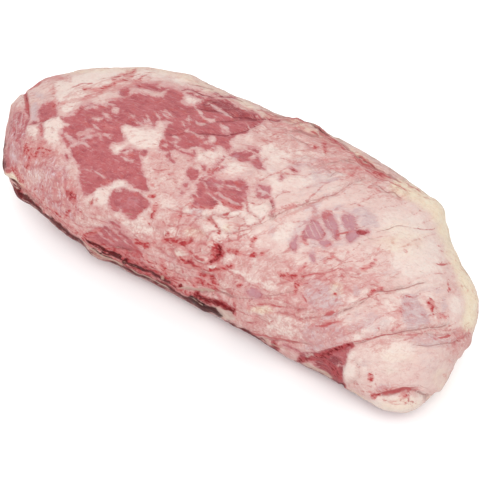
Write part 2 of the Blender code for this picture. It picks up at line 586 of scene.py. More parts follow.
# Fat that lies on the lean: islets, flecks and the fringes of the windows
FAT_ON_LEAN: tuple[Mark, ...] = (
    Line("18,112 15,124 16,136", 1), Line("22,112 20,124 19,134", 1), Line("13,116 12,126", 0.9),
    Line("84,108 90,106 97,107", 1.8), Area("90,117 96,117 104,118 104,121 99,122 95,120"),
    Area("101,113 107,113 112,117 114,121 110,120 106,117"),
    Area("111,107 118,106 120,109 117,113 112,112"), Spot(130, 116, 3, 1.8),
    Area("76,134 82,130 90,128 96,130 92,133 84,136 78,138"), Line("80,140 87,136 95,135", 2),
    Line("65,134 70,138 75,142", 2.4), Area("94,130 100,132 102,139 98,138 96,134"),
    Line("68,146 75,143 83,143 89,147", 2.2), Line("104,133 111,136", 1.6), Line("94,125 99,129", 1.2),
    Line("64,127 60,133", 1.2), Line("121,156 126,159 132,160", 1.8), Line("124,153 131,149", 2.4),
    Line("92,169 99,174 105,178", 1), Line("84,168 90,170", 1.2), Spot(135, 187, 1.8, 1.2),
    Line("195,108 201,114 207,119 215,122", 2.6), Line("209,103 217,108 224,113 231,116", 2.2),
    Line("165,110 170,114 174,118", 1.4), Area("231,101 240,104 247,108 243,110 236,107"),
    Spot(225, 129, 5.2, 2.8, 1, 40), Spot(212, 139, 4.2, 4), Spot(206, 141, 3.2, 1.6, 1, -20),
    Spot(202, 135, 2.8, 1.8, 1, 30), Line("186,130 192,130 199,135", 2.8), Spot(233, 141, 2.8, 2.4),
    Line("187,115 190,123", 1.3), Line("194,118 199,123 206,122", 1.5), Line("208,123 215,120", 1.6),
    Line("174,135 181,139", 1.8), Line("182,120 186,128", 1.1), Line("160,111 168,118", 1.1),
    Spot(166, 144, 2.2, 2), Spot(176, 142, 1.8, 1.4), Line("147,116 153,126", 1.5),
    Line("143,117 148,126", 1.1), Line("136,120 144,124", 1.4), Line("155,112 160,119", 0.9),
    Line("246,122 251,128", 1.1), Spot(253, 156, 3.2, 2.8), Spot(218, 186, 4.2, 1.8, 1, 10),
    Line("203,181 206,186", 2.4), Line("216,192 223,196 231,200 240,206", 2),
    Line("224,183 232,186 239,189", 1), Line("206,192 214,199 222,203", 0.9),
    Line("259,186 263,193 260,198", 1.4), Line("255,192 264,190 271,195", 1.2),
    Line("308,220 311,229 316,240", 1, 0.9), Line("312,217 316,227 321,239", 1, 0.9),
    Line("325,213 329,223 334,234", 0.9, 0.7), Line("346,215 349,224 350,231", 0.8, 0.6),
    Line("304,227 307,234 311,240", 1, 0.8), Line("353,215 355,224 356,232", 0.8, 0.4),
    Spot(317, 358, 3.6, 1.8, 1, 10), Spot(337, 367, 2.4, 1.6, 1, -40), Spot(308, 356, 3.2, 1.8, 1, 10),
    Line("326,349 336,346 346,343", 1.4), Line("110,228 116,232", 2.2),
    Line("98,234 104,240 112,243", 1.2, 0.6), Line("104,230 110,236 118,240", 0.9, 0.5),
    Line("118,234 126,242 134,248", 0.9, 0.5), Line("124,257 130,256 137,259", 1.2, 0.6),
)

MARKS: dict[Layer, tuple[Mark, ...]] = {}
# where the lean is darkened with painted shade: in the furrows, along the outline of the slim end, over the
# near edge and in the sunken cut there
MARKS[Layer.DEEP] = (
    Area("203,99 222,98 236,105 245,112 257,112 257,118 240,118 225,115 210,112 199,108", 0.75),
    Area("150,100 185,103 200,108 206,116 190,113 165,107", 0.4),
    Area("162,128 176,124 190,126 184,132 166,134", 0.35), Area("178,136 196,134 206,146 190,147", 0.3),
    Area("228,132 250,126 248,132 236,134", 0.5),
    Line("196,107 208,109 220,111 230,115 244,117 262,117 276,120", 2.4, 0.95),
    Line("204,103 214,108 226,114 238,116", 1.8, 0.8),
    Line("196,123 212,123 228,121 242,118 258,118", 2.2, 0.9),
    Line("163,134 174,134 184,132 191,128", 2.4, 0.9),
    Line("190,131 205,132 220,134 234,133 246,129 264,122", 2.4, 0.95),
    Line("230,131 240,128 250,124 262,121", 1.8, 0.8), Line("150,103 166,103 182,105 196,108", 1.6, 0.5),
    Line("222,99 234,105 242,110", 1.6, 0.7), Line("184,148 194,147 206,149", 1.6, 0.6),
    Line("216,145 226,146", 1.6, 0.6), Area("312,360 326,356 341,358 346,388 330,382 318,375", 1.1, 4),
    Area("298,353 352,343 350,350 330,355 312,361 300,361", 0.75, 3),
    Area("96,240 106,246 118,254 128,262 112,256 100,248", 0.8, 3),
    Area("116,250 140,258 150,268 160,276 140,270 124,262", 0.7, 4), Line("5,150 5,160 7,169", 2.2, 0.8),
    Area("72,150 92,158 98,184 86,190 78,170", 0.22, 6),
)
# torn, upright fibres of the slim end, whose palest strands are partly painted glints
MARKS[Layer.FIBRE] = (
    Area("6,118 24,104 30,122 30,150 40,160 62,158 74,176 84,196 86,214 74,226 56,216 34,198 14,176 "
         "4,160", 0.95, 7),
    Area("28,146 60,150 66,168 40,178 26,168", 0.9, 6),
)
# red stains and broken vessels, and a broad wash of painted shade at the near edge
MARKS[Layer.BLOOD] = (
    Line("24.5,92 26,98 27.5,105 27,111", 1.5, 1.1), Line("26,92.5 34,88 43,83.5", 1.8, 1),
    Spot(26.5, 149, 4, 9, 0.95), Spot(32, 147, 5, 8, 0.45), Line("31,155 27,168", 3, 1),
    Line("36,156 39,148", 3, 0.95), Spot(47, 153, 6, 6, 0.68), Spot(42, 148, 2, 3.5, 0.75),
    Spot(54, 106, 4, 4, 0.85, 10), Spot(47, 104, 2, 4, 0.6, 10), Line("13,168 17,175 22,182", 4.2, 0.85),
    Line("5,170 9,172 14,170", 2, 0.95), Spot(41, 131, 2.5, 6, 0.55), Line("41,187 43,199", 3.4, 0.62),
    Spot(34, 189, 1.6, 1.8, 0.9), Spot(57, 174, 4, 3.4, 0.55), Spot(54, 194, 3, 4, 0.45),
    Spot(66, 182, 5, 4, 0.4), Spot(92, 202, 2, 4, 0.7), Spot(97, 201, 1.8, 3, 0.7),
    Area("63,192 67,188 71,188 76,191 79,196 78,202 74,206 70,200 66,196", 0.75, 4),
    Line("65,217 69,211", 3.2, 0.9), Spot(55, 214, 1.8, 3, 0.95), Spot(75, 213, 2.4, 5, 0.6),
    Spot(81, 214, 3, 4, 0.55), Spot(107, 181, 3.6, 2, 0.8, -20), Spot(94, 187, 3, 5, 0.3),
    Area("147,194 158,194 153,200 148,198", 1, 1.2), Line("157,204 154,210 152,218", 3.6, 0.8),
    Spot(149, 224, 1.6, 2.4, 0.85), Spot(153, 185, 2.2, 2.2, 0.6), Spot(171, 176, 4.5, 2, 0.6, 10),
    Line("150,168 162,171 174,170", 2.2, 0.45), Line("152,156 158,153", 2.2, 0.45),
    Line("149,144 160,144", 2, 0.5), Line("84,235 92,234 98,230", 2.6, 0.9),
    Line("136,241 146,246", 4, 1.15), Line("129,247 135,251 141,254 142,259", 2, 0.85),
    Line("150,246 156,241", 2.8, 0.6), Spot(168, 234, 4, 3.4, 0.85),
    Line("167,240 178,242 190,241", 6.5, 1.15), Line("188,244 204,243 222,240 244,240", 3, 0.45),
    Spot(190, 252, 3.4, 2.6, 1.15, 20), Line("193,254 201,257 208,260", 2, 0.9),
    Area("210,245 220,242 225,248 223,260 212,265 205,262 212,255", 1, 4), Spot(216, 255, 4, 8, 0.9, 10),
    Spot(208, 262, 5, 2.4, 0.9, -10), Line("229,250 238,253", 3.4, 1.1),
    Line("234,252 244,254 250,256", 1.2, 0.5), Spot(253, 255, 4.2, 2.6, 1.2, -10),
    Spot(262, 254, 3.4, 2.2, 1.2, -20), Line("265,252 272,248", 2, 0.55),
    Line("251,245 254,239", 3.6, 0.95), Line("178,260 186,261 194,265 200,269", 4.2, 1.1),
    Spot(190, 263, 5, 3, 0.95, 20), Line("210,270 220,269 231,266", 3.2, 1.05),
    Line("200,268 210,271 222,268", 1.6, 0.6), Spot(224, 267, 7, 2, 0.5, -12),
    Line("162,263 166,274", 4.2, 1), Line("216,280 218,277", 2.2, 0.9),
    Line("197,280 206,284 214,289", 4.6, 0.95), Line("213,282 217,291", 4.4, 1),
    Spot(240, 284, 4, 2.6, 0.95, -20), Line("183,292 194,297", 1.8, 0.7),
    Line("233,301 235,310", 2.2, 0.85), Spot(236, 314, 1.8, 1.8, 0.9), Line("248,308 250,300", 3, 0.5),
    Line("255,303 272,305 290,310", 2.2, 0.55), Line("244,322 258,323", 2.4, 0.55),
    Line("266,323 275,320", 2.2, 0.5), Line("240,328 256,334 276,339 300,343", 2, 0.7),
    Line("248,330 262,332", 2, 0.5), Line("282,274 289,277 296,276", 5, 0.95),
    Line("300,272 305,266", 3.8, 0.8), Line("297,283 295,292", 2.6, 0.85),
    Line("297,285 308,283", 2.6, 0.75), Line("302,292 307,304", 1.8, 0.7),
    Line("300,278 316,274 330,271 344,269", 2.4, 0.55), Line("296,262 290,270", 2, 0.4),
    Line("324,143 325,151", 3.2, 0.8), Spot(314, 148, 2.4, 2.8, 0.7), Line("314,148 322,146", 1.8, 0.6),
    Line("375,172 384,175", 2.6, 1), Spot(366, 167, 3.4, 1.8, 0.75, 20), Spot(348, 253, 2.6, 3.4, 0.75),
    Line("326,261 334,257", 3, 0.75), Line("377,254 379,249", 2.2, 0.7), Line("378,252 384,252", 1.6, 0.6),
    Line("362,269 368,267 375,262", 3.6, 0.72), Spot(350, 269, 3.2, 2.4, 0.7),
    Line("338,270 348,269", 2.2, 0.6), Line("342,262 352,256 360,250", 2, 0.35),
    Line("348,276 358,279 364,276", 2.2, 0.45), Line("348,176 355,172 362,169", 3, 0.55),
    Spot(405, 251, 4, 3, 0.3), Line("434,263 441,265 449,264", 1.3, 0.8), Line("439,263 437,259", 1.4, 0.5),
    Line("448,280 449,286", 1.8, 0.8), Spot(449.5, 289, 2.2, 3.4, 1, 10),
    Area("426,301 428,298 432,298 435,303 435,311 433,312 429,309", 0.8, 1.4),
    Line("436,314 441,317 447,317", 4, 0.6), Spot(447, 317, 2.2, 2.8, 0.7),
    Line("402,293 407,296 414,297", 1.3, 0.8), Line("405,294 403,299", 1.1, 0.6),
    Line("371,293 378,290 388,290 396,289", 1.1, 0.55),
    Line("350,342 362,340 376,338 390,334 400,332", 1.2, 0.6), Line("369,294 374,291 381,288", 3, 0.9),
    Line("396,330 400,318 401,308", 3, 0.35), Line("375,328 379,328 379,334", 1.4, 0.75),
    Line("374,324 378,322", 1.6, 0.5), Spot(336, 294, 2.4, 2.6, 0.7), Line("370,375 370,380", 3.6, 1),
    Line("436,338 446,337 453,334", 1.6, 0.85), Line("444,344 452,342", 1.8, 0.5),
    Line("458,339 468,334", 5, 0.62), Spot(313, 326, 2.8, 2.4, 0.65),
    Line("323,316 330,313 336,312", 2.2, 0.85), Line("312,327 322,326 332,323 340,320", 2, 0.75),
    Spot(334, 330, 2.8, 1.8, 0.75), Spot(320, 309, 4, 2, 0.5), Line("300,326 306,330", 2, 0.4),
    Spot(360, 206, 4.2, 1.6, 0.6, 20), Spot(329, 211, 4.4, 1.6, 0.55),
    Line("336,235 343,233 352,231", 1.4, 0.8), Spot(339, 237, 3, 3, 0.4, 40),
    Line("303,238 306,244", 3.2, 0.62), Spot(328, 245, 4, 2.8, 0.6, -20), Line("345,345 330,349", 1.6, 0.5),
    Line("113,79 120,75 127,73 134,71", 3, 0.62),
    Line("84,89 95,88 104,88 112,84 120,81 132,80 142,78", 2.6, 0.66),
    Line("66,91 74,87 84,84 96,82", 2.4, 0.5), Line("80,98 92,94 104,90", 2.2, 0.42),
    Line("100,80 112,78 124,76 140,74 156,72", 1.6, 0.42), Line("134,80 143,77 151,74", 2, 0.5),
    Line("60,104 70,103", 2, 0.5), Line("72,100 84,97 94,93", 1.8, 0.36),
    Line("54,87 53,95 56,100", 3.4, 0.5), Spot(140, 84, 8, 3, 0.4, 10), Line("373,394 380,395", 2.8, 1),
    Line("380,395 392,394 402,391 414,391", 1.9, 0.95), Line("384,393 396,390 408,388 416,387", 1.5, 0.7),
    Line("376,394 390,392 404,389", 5, 0.42), Line("371,398 379,396", 2, 0.7),
    Line("384,399 396,402 406,401", 3, 0.42), Line("400,399 408,395", 2.6, 0.65),
    Line("407,395 408,404", 2.2, 0.65), Line("408,400 416,403", 2.2, 0.6),
    Line("358,390 368,391 376,390", 2, 0.4), Line("350,383 358,384", 2, 0.45),
    Line("190,204 200,207 210,208 217,206", 3.4, 0.68), Line("224,202 232,207 241,208", 4.2, 0.82),
    Spot(209, 170, 2.6, 3, 0.65, 20), Line("209,174 215,170 222,165", 1.8, 0.6),
    Line("153,172 160,171", 2.2, 0.4), Spot(98, 157, 2, 2, 0.5), Spot(122, 168, 8, 3, 0.45),
    Spot(135, 176, 5, 8, 0.35), Spot(107, 126, 7, 4, 0.35, 20),
    Line("206,219 213,221 217,226 219,233", 2.6, 0.85), Line("219,233 222,240", 2.4, 0.55),
    Line("219,216 228,214 230,209", 2.2, 0.6), Line("179,217 186,217 194,214", 2.6, 0.6),
    Line("180,222 184,220", 2.4, 0.65), Line("176,228 180,224", 1.8, 0.5),
    Line("240,240 258,236 270,232", 2, 0.35), Line("232,224 246,227 258,224", 2.2, 0.45),
    Line("230,233 240,233 248,229", 2.2, 0.55), Line("272,213 284,208 296,204", 4, 0.5),
    Line("244,206 250,203 256,204", 2.4, 0.4), Line("326,193 327,198", 2.2, 0.55),
    Line("410,227 424,230 438,227", 1.6, 0.5), Spot(438, 246, 4, 1.6, 0.45),
    Line("404,183 414,189 422,195", 1.8, 0.6), Line("420,198 426,199", 2, 0.6),
    Spot(445, 376, 2.4, 4, 0.45), Line("444,358 449,360 454,366", 1.8, 0.4),
    Line("460,327 468,324 474,322", 2, 0.35), Line("266,138 276,134 286,134", 2.2, 0.45),
    Line("258,262 268,268 262,276", 2, 0.25), Line("188,196 184,190", 1.6, 0.4),
    # broad lines along the near edge, where it turns under: painted shade over the red of the lean
    Line("20,186 34,197 48,209 62,221 78,234 96,245", 6, 0.62),
    Line("84,239 98,247 112,253 128,259 144,266 160,275 176,284", 6, 0.9),
    Line("92,251 112,260 132,269 152,279 176,291", 5, 0.9),
    Line("120,252 136,256 152,262 166,270 178,276", 6, 0.6),
    Line("150,268 166,276 182,281 196,284", 5, 0.7), Line("178,290 190,293 202,297", 3.4, 0.9),
    Line("200,274 210,278 218,283", 4, 0.8), Spot(202, 284, 6, 3, 0.6, 10),
    Line("262,112 284,119 306,127 326,137 344,149", 7, 0.4), Line("318,131 330,138 340,145", 3.4, 0.75),
    Line("300,122 316,128 330,137 346,148", 1.3, 0.8), Line("262,112 280,118 298,123 312,127", 1.3, 0.7),
    Line("330,141 346,151 362,162 378,170", 1.3, 0.75), Line("344,152 360,163 376,172 394,180", 1.2, 0.65),
    Line("356,154 372,165 390,176 404,184", 1.3, 0.7), Line("362,168 380,178 396,186 410,193", 1.1, 0.55),
    Line("308,131 324,137 338,147 352,158", 1.1, 0.6),
)
# clotted, near-black red
MARKS[Layer.CLOT] = (
    Area("64,190 68,188 73,190 77,195 76,202 72,203 69,197", 0.5, 3),
    Line("218,247 219,254 217,260", 2.8, 0.95), Line("25,95 26.5,100 27.5,105", 1, 0.6),
    Spot(213, 261, 4, 2, 0.9, -15), Line("92,244 102,250.5 112,256.5 122,260.5", 2.2, 0.55),
    Line("128,263 141,269 153,275 163,280 173,285", 2.3, 0.74),
    Line("106,253 120,259.5 133,265.5 143,270 153,275 163,280 175,286", 1.9, 1.15),
    Spot(127, 261, 2.6, 1.6, 1.1, 20), Spot(145, 268, 2.6, 1.8, 1.1, 20), Spot(181, 285.5, 3, 1.8, 1.1, 20),
    Line("196,294 206,298 213,301 220,304", 3.8, 1.25), Line("218,303 226,307 232,312", 3.6, 1.3),
    Line("239,327.5 246,331 252,334", 1.6, 1.1), Spot(219, 319, 2.4, 1.6, 1.3, 20),
    Spot(226, 321.5, 2.4, 1.8, 1.3, 20), Spot(233, 324, 2.8, 2, 1.3, 20),
    Area("355,232 360,229 366,229 369,231 366,235 358,236", 0.66, 1.2),
    Line("318,357 330,352 342,347 351,344.5", 2.8, 0.9), Line("300,360 312,360 321,359 330,355", 2.8, 0.85),
    Area("328,370 340,366 341,377 344,386 332,380", 0.75, 3.5), Line("322,362 328,368 332,374", 3, 0.5),
    Line("189,262 194,265", 2.6, 0.75), Spot(81, 150, 1.5, 1.5, 0.7),
    Area("12,185 17,187 23,193 23,200 16,197", 1.3, 2),
    Line("17,190 27,198.5 38,208 48,216 60,226 72,236 84,245", 1.5, 0.9),
    Line("240,329 252,335 262,341", 2, 0.75), Line("4,138 3,152 4,163 6,172", 2.4, 0.7),
    Line("11,181 16,186 21,192", 2, 0.6), Line("274,343 278,349", 3, 0.85),
    Line("328,379 336,383 344,386", 3.4, 0.9), Spot(293, 170, 3, 2, 0.5, 20),
)
# dark, dried membrane along the near edge
MARKS[Layer.DRIED] = (
    Line("190,297 200,301.5 210,306.5 220,314", 4, 1.2), Line("194,301 204,306 214,312", 1.4, 1.1),
    Line("108,261 118,265 130,270 140,275 152,281", 1.5, 1),
    Line("34,207 42,212 52,220.5 62,228 72,236", 1.3, 0.7),
    Line("152,281 162,285 174,291 184,296.5 196,303", 1.5, 1), Line("24,203 34,210 42,215", 1.4, 0.8),
    Line("9,178 14,181 19,186", 1.6, 0.8), Line("62,230 74,239 84,247 96,255", 1.4, 0.6),
    Line("84,238 96,245 108,252 122,258", 1.4, 0.85), Line("90,247 102,254 114,260", 1.2, 0.9),
    Line("182,295 194,302 208,311", 1.3, 0.9), Line("300,366 314,374 330,383", 1.4, 0.6),
    Line("228,320 236,325", 2.6, 0.6), Line("262,341 276,350", 1.4, 0.4),
    Line("452,372 458,360 462,352", 1.2, 0.3), Line("286,118 302,123 318,130 332,138", 1.1, 0.6),
    Line("336,141 350,151 366,162 382,171", 1.1, 0.5), Line("400,178 408,184", 1.6, 0.5),
)
# grey-lilac membrane
MARKS[Layer.VEIL] = (
    Spot(114, 238, 22, 9, 0.3, 32), Spot(127, 202, 15, 12, 0.42),
    Area("32,104 38,101 39,112 38,121 31,121 29,114", 0.95), Spot(40, 96, 9, 4, 0.7, 10),
    Spot(14, 154, 6, 14, 0.8), Spot(48, 168, 9, 10, 0.5), Spot(62, 172, 9, 12, 0.45),
    Spot(45, 195, 10, 16, 0.45, -20), Spot(53, 208, 16, 6, 0.5, 40), Spot(322, 178, 22, 12, 0.55, -15),
    Spot(305, 164, 20, 8, 0.45), Spot(312, 207, 14, 5, 0.65, -20), Spot(338, 208, 10, 5, 0.7, -20),
    Spot(366, 216, 13, 10, 0.8, 30), Spot(349, 222, 9, 12, 1.3), Spot(314, 231, 10, 12, 1.15),
    Spot(331, 226, 8, 14, 0.95, 10), Spot(353, 236, 8, 6, 1.1), Spot(326, 244, 8, 5, 1.1),
    Spot(295, 242, 5, 9, 0.9), Spot(313, 257, 4, 7, 1.2),
    Area("286,232 304,214 326,207 350,206 372,214 376,230 360,246 330,250 300,252 286,248", 0.5, 6),
    Area("333,209 350,206 368,209 380,218 380,227 366,229 358,222 346,212", 0.75, 4),
    Spot(332, 180, 9, 2.6, 0.8),
    Area("302,282 312,276 330,284 344,284 344,298 338,308 322,312 310,310 304,298", 0.75, 6),
    Spot(356, 291, 4, 7, 0.85), Spot(330, 316, 14, 3.4, 0.8, -18), Spot(334, 303, 8, 5, 0.6, -10),
    Area("300,324 318,322 340,322 352,334 342,343 316,349 300,349", 0.6, 6),
    Spot(316, 347, 14, 3, 0.95, -4),
    Area("346,318 360,308 380,312 396,322 380,334 358,338 346,334", 0.5, 6),
    Area("400,296 414,290 420,300 432,316 434,324 416,329 402,330", 0.85, 4), Spot(444, 306, 4, 12, 0.6),
    Spot(433, 290, 16, 4, 0.5, 4), Spot(432, 341, 26, 8, 0.6, -2), Spot(430, 364, 12, 16, 0.4),
    Spot(384, 387, 10, 4, 0.5, -10), Spot(366, 364, 6, 6, 0.45, 20), Spot(197, 211, 8, 8, 0.75),
    Area("246,288 254,288 263,295 258,299 248,298", 0.9, 2), Spot(250, 304, 2, 5, 0.5),
    Spot(272, 231, 6, 8, 0.5), Spot(214, 182, 14, 6, 0.45, 15), Spot(240, 190, 8, 10, 0.45),
    Spot(234, 156, 7, 5, 0.55), Spot(260, 162, 6, 7, 0.45), Spot(264, 192, 8, 8, 0.55),
    Spot(322, 260, 8, 6, 0.4, 30), Spot(389, 274, 12, 10, 0.35), Spot(190, 165, 12, 4, 0.3, 20),
    Spot(293, 244, 5, 9, 0.5), Spot(270, 170, 8, 4, 0.4), Spot(245, 176, 14, 4, 0.4, -30),
    Line("300,196 316,190 330,196 344,190 358,182", 7, 0.4), Spot(224, 243, 6, 5, 0.4),
    Spot(205, 276, 14, 4, 0.4, 15), Spot(172, 262, 12, 6, 0.35, 40), Spot(366, 290, 3, 3, 0),
)
# blood under the fat: how strongly each region is tinged; at the slim end the tinge also carries painted
# shade
MARKS[Layer.ROSE] = (
    Area("0,110 24,100 34,140 60,150 80,180 90,210 140,225 170,245 230,275 300,300 380,345 300,370 "
         "200,320 100,260 30,210 0,170", 0.55, 9),
    Area("130,215 200,225 250,245 290,255 330,262 360,285 350,310 300,345 240,330 180,280 130,250", 0.6, 8),
    Area("60,215 100,205 150,225 170,250 140,262 100,245 64,228", 0.56, 7),
    Area("250,225 300,205 360,185 400,200 400,240 380,275 300,285 250,260", 0.24, 9),
    Area("290,250 340,240 400,255 400,285 350,305 300,330 280,290", 0.46, 9),
    Area("262,114 300,122 380,165 420,196 380,205 330,180 280,156 246,128", 0.58, 8),
    Area("330,300 400,290 450,290 460,340 440,380 380,395 340,360", 0.3, 9),
    Area("296,320 350,310 350,340 310,352 290,344", 0.72, 6),
    Area("370,385 418,384 422,392 380,400", 0.75, 4),
    Area("130,150 170,145 230,165 240,210 200,230 140,220 150,190", 0.4, 9),
    Area("90,84 120,78 200,86 240,100 180,95 120,92 90,96", 0.2, 5),
    Area("130,80 170,82 200,90 160,92 136,88", 0.4, 4), Area("0,110 24,100 30,140 24,170 0,180", 0.7, 5),
    Area("20,140 56,140 64,165 40,172 18,170", 0.85, 6),
    Area("38,175 84,180 88,215 60,222 36,200", 0.78, 7), Area("60,122 100,125 100,150 70,150", 0.7, 6),
    Area("450,330 472,320 468,350 450,365", 0.6, 4),
    Area("270,275 300,268 306,300 280,306 262,296", 0.8, 7),
    Line("60,103 88,98 110,87 126,80 134,72", 3, 1), Line("288,128 306,133 322,140 340,150", 5, 0.9),
    Spot(382, 346, 20, 8, 0.7, -8), Spot(352, 330, 16, 10, 0.6, -10), Spot(14, 124, 8, 16, 1.1),
    Line("262,140 280,146 300,146 318,152", 4, 0.7), Line("340,163 360,168 380,176 398,186", 4, 0.8),
    Line("360,200 384,194 402,198", 4, 0.7), Line("276,220 300,208 326,199 350,187 372,180", 5, 0.8),
    Line("250,238 268,232 284,224", 4, 0.8), Line("356,262 372,256 388,252", 5, 0.7),
    Line("76,90 96,84 118,76 134,71", 3, 1), Line("64,98 82,92 106,88 134,82 150,78", 3, 0.9),
    Line("106,87 124,88 142,84 160,82", 4, 1.1), Line("40,82 56,78 70,80", 4, 0.9),
    Area("156,236 182,240 206,250 232,268 224,284 196,280 170,264 150,250", 0.85, 6),
    Area("168,208 200,214 206,240 180,238 164,224", 0.7, 6),
    Area("385,300 400,300 402,330 388,330", 0.65, 6),
)
# cream, where the fat is dry and thin
MARKS[Layer.IVORY] = (
    Line("150,68 175,74 200,84 225,96 250,108", 8, 0.5),
    Line("250,110 290,122 330,138 370,164 405,188", 8, 0.5),
    Line("398,186 420,195 440,212 449,238 459,262", 18, 0.95),
    Line("458,262 467,280 473,300 469,325", 15, 1), Spot(400, 240, 30, 24, 0.4), Spot(336, 290, 8, 9, 0.8),
    Spot(400, 404, 28, 9, 0.45), Spot(360, 397, 20, 4, 0.5, 30), Spot(227, 228, 6, 6, 0.4),
    Spot(195, 234, 14, 7, 0.45, 5), Spot(262, 310, 14, 5, 0.65), Spot(180, 255, 6, 8, 0.3),
    Line("6,173 11,176 17,180 22,187", 3.6, 1), Spot(440, 378, 10, 14, 0.4, 20),
    Line("60,72 100,70 150,68", 5, 0.5), Spot(222, 312, 12, 4, 0.8, 28), Spot(395, 355, 24, 20, 0.3),
    Spot(14, 104, 4, 8, 0.4, 30),
)
# thick white fat, with painted highlight on the raised lobules, the upper left and the lower lobe
MARKS[Layer.PALE] = (
    Area("52,84 84,73 110,69 130,70 112,82 88,90 78,102 66,112 58,98", 1.2, 4),
    Spot(150, 74, 22, 4, 0.8, 4), Spot(180, 82, 14, 4, 0.7, 15),
    Area("62,104 76,102 72,110 62,114", 0.9, 2),
    Area("122,127 136,127 146,127 158,130 164,140 158,146 146,150 134,146 128,141", 0.95, 4),
    Area("108,147 114,142 122,143 128,147 120,150 117,155 112,152", 0.6, 2),
    Area("24,128 32,124 38,127 38,136 30,138 25,136", 0.9, 3),
    Area("44,124 52,119 60,118 66,122 68,125 62,130 58,136 60,142 50,143 43,136", 0.9, 3),
    Area("93,196 96,188 108,186 112,181 122,180 132,187 144,194 150,198 140,195 132,190 122,187 112,191 "
         "109,199 106,206 98,204", 0.9, 2.4),
    Area("112,214 120,212 134,221 142,216 150,222 156,232 146,240 132,232 118,222", 0.7, 4),
    Spot(34, 178, 8, 12, 0.6), Spot(30, 172, 6, 5, 0.5), Spot(207, 156, 16, 7, 0.6, -10),
    Spot(232, 168, 15, 6, 0.95), Spot(210, 162, 8, 4, 0.5), Spot(276, 152, 24, 12, 0.6),
    Spot(266, 134, 12, 6, 0.35, 20), Spot(300, 155, 22, 7, 0.5, 15), Spot(277, 184, 8, 10, 0.9),
    Spot(296, 178, 12, 6, 0.4), Spot(222, 209, 8, 6, 0.8), Spot(209, 212, 7, 5, 0.8),
    Spot(241, 213, 9, 5, 0.8), Spot(262, 211, 7, 7, 0.9), Spot(250, 223, 5, 4, 0.7),
    Spot(228, 226, 7, 7, 0.6), Spot(209, 226, 8, 6, 0.8), Spot(190, 233, 12, 5, 0.5),
    Spot(170, 204, 12, 10, 0.5), Spot(185, 200, 8, 10, 0.4), Spot(255, 235, 10, 6, 0.5),
    Spot(285, 232, 14, 12, 0.75), Spot(262, 243, 10, 7, 0.5), Spot(204, 259, 6, 4, 0.9, 20),
    Spot(212, 266, 5, 2.2, 0.95, 10), Spot(230, 258, 7, 4, 0.6), Spot(247, 247, 8, 3, 0.55),
    Spot(177, 252, 5, 6, 0.6), Spot(268, 286, 8, 6, 0.8), Spot(226, 285, 9, 5, 0.45),
    Spot(262, 312, 12, 4, 0.5), Spot(282, 328, 20, 8, 0.85, 8), Spot(256, 262, 10, 6, 0.4),
    Spot(195, 250, 5, 3, 0.5), Spot(298, 262, 4, 4, 0.6), Spot(368, 253, 8, 9, 0.4),
    Spot(392, 248, 10, 7, 0.6), Spot(406, 226, 30, 16, 0.9, 10), Spot(430, 252, 14, 16, 0.8),
    Spot(416, 262, 28, 17), Spot(392, 303, 9, 10, 0.5), Spot(428, 300, 10, 12, 0.6),
    Spot(456, 305, 7, 12, 0.8), Spot(395, 352, 22, 14, 0.8), Spot(350, 369, 9, 11, 0.85),
    Spot(353, 354, 5, 6, 0.8), Spot(385, 370, 18, 10, 0.4), Spot(396, 404, 28, 9, 1.3),
    Spot(420, 397, 8, 4, 0.8, -30), Spot(338, 175.5, 3.6, 1.6, 1, -20), Spot(365, 369, 2.4, 4, 0.8, -30),
    Spot(420, 212, 12, 6, 0.4, 10), Line("262,224 276,218 290,211 304,205", 2.4, 0.9),
    Line("404,331 420,328 436,326", 2, 0.6), Line("32,104 34,112 31,120", 1.6, 0.7),
    Line("340,316 346,314", 3, 0.7), Line("128,92 146,90 164,94", 2.4, 0.5),
    Area("184,98 196,97 205,98 199,102 193,105 187,103", 0.8, 2),
)
# pale sinew lines over the dark lean
MARKS[Layer.SILVER] = (
    Line("30,188 40,197 54,211 66,223", 1.4, 0.35), Line("22,202 33,209 43,214", 1.4, 0.9),
    Line("80,240 92,249 104,256 116,262 126,266", 1, 0.9), Line("88,251 98,256 108,260", 0.9, 0.7),
    Line("128,267 142,275 156,282 172,291", 0.9, 0.8), Line("146,268 152,270", 1.6, 0.9),
    Line("158,276 166,281", 1.8, 0.9), Line("150,258 160,266 174,276", 1.2, 0.5),
    Line("178,287.5 190,288.5 204,290 216,292.5", 1.3, 1),
    Line("98,249 112,256 126,262.5 140,269", 0.8, 0.38), Line("188,295 198,299.5 208,304.5", 0.8, 0.6),
    Area("216,306 224,309 232,313 238,319 232,320 224,316 217,311", 1, 1.6),
    Line("262,338 276,345 292,353", 1.6, 0.6), Line("303,362 318,371 334,381", 1.8, 0.8),
    Line("307,357 312,355", 2.6, 0.7), Line("306,362 312,367", 2.4, 0.8),
    Line("110,248 122,251 134,254", 1.8, 0.4), Line("14,184 20,191", 1.6, 0.6),
)
# painted shade: a brown darkening where the piece turns away at its outline
MARKS[Layer.BARK] = (
    Line("6,120 14,97 28,87 46,78 66,71 84,69", 8, 0.6), Line("84,69 100,68 130,66 150,68 168,71", 8, 0.45),
    Line("168,71 190,77 205,82 230,94 250,104", 8, 0.75), Line("250,104 262,107 284,114 304,121", 8, 0.9),
    Line("304,121 320,127 340,138 360,152 380,164 404,180", 8, 1.1),
    Line("404,180 420,191 434,202 444,213", 8, 1.1),
    Line("444,213 449,226 450,240 460,260 470,277", 8, 0.9),
    Line("468,275 476,289 478,304 474,322 470,338", 9, 1.15),
    Line("470,338 464,350 456,358 452,370 446,382 436,392", 8, 0.85),
    Line("345,387 358,396 374,404 384,410 400,412 416,409", 6, 0.6),
)
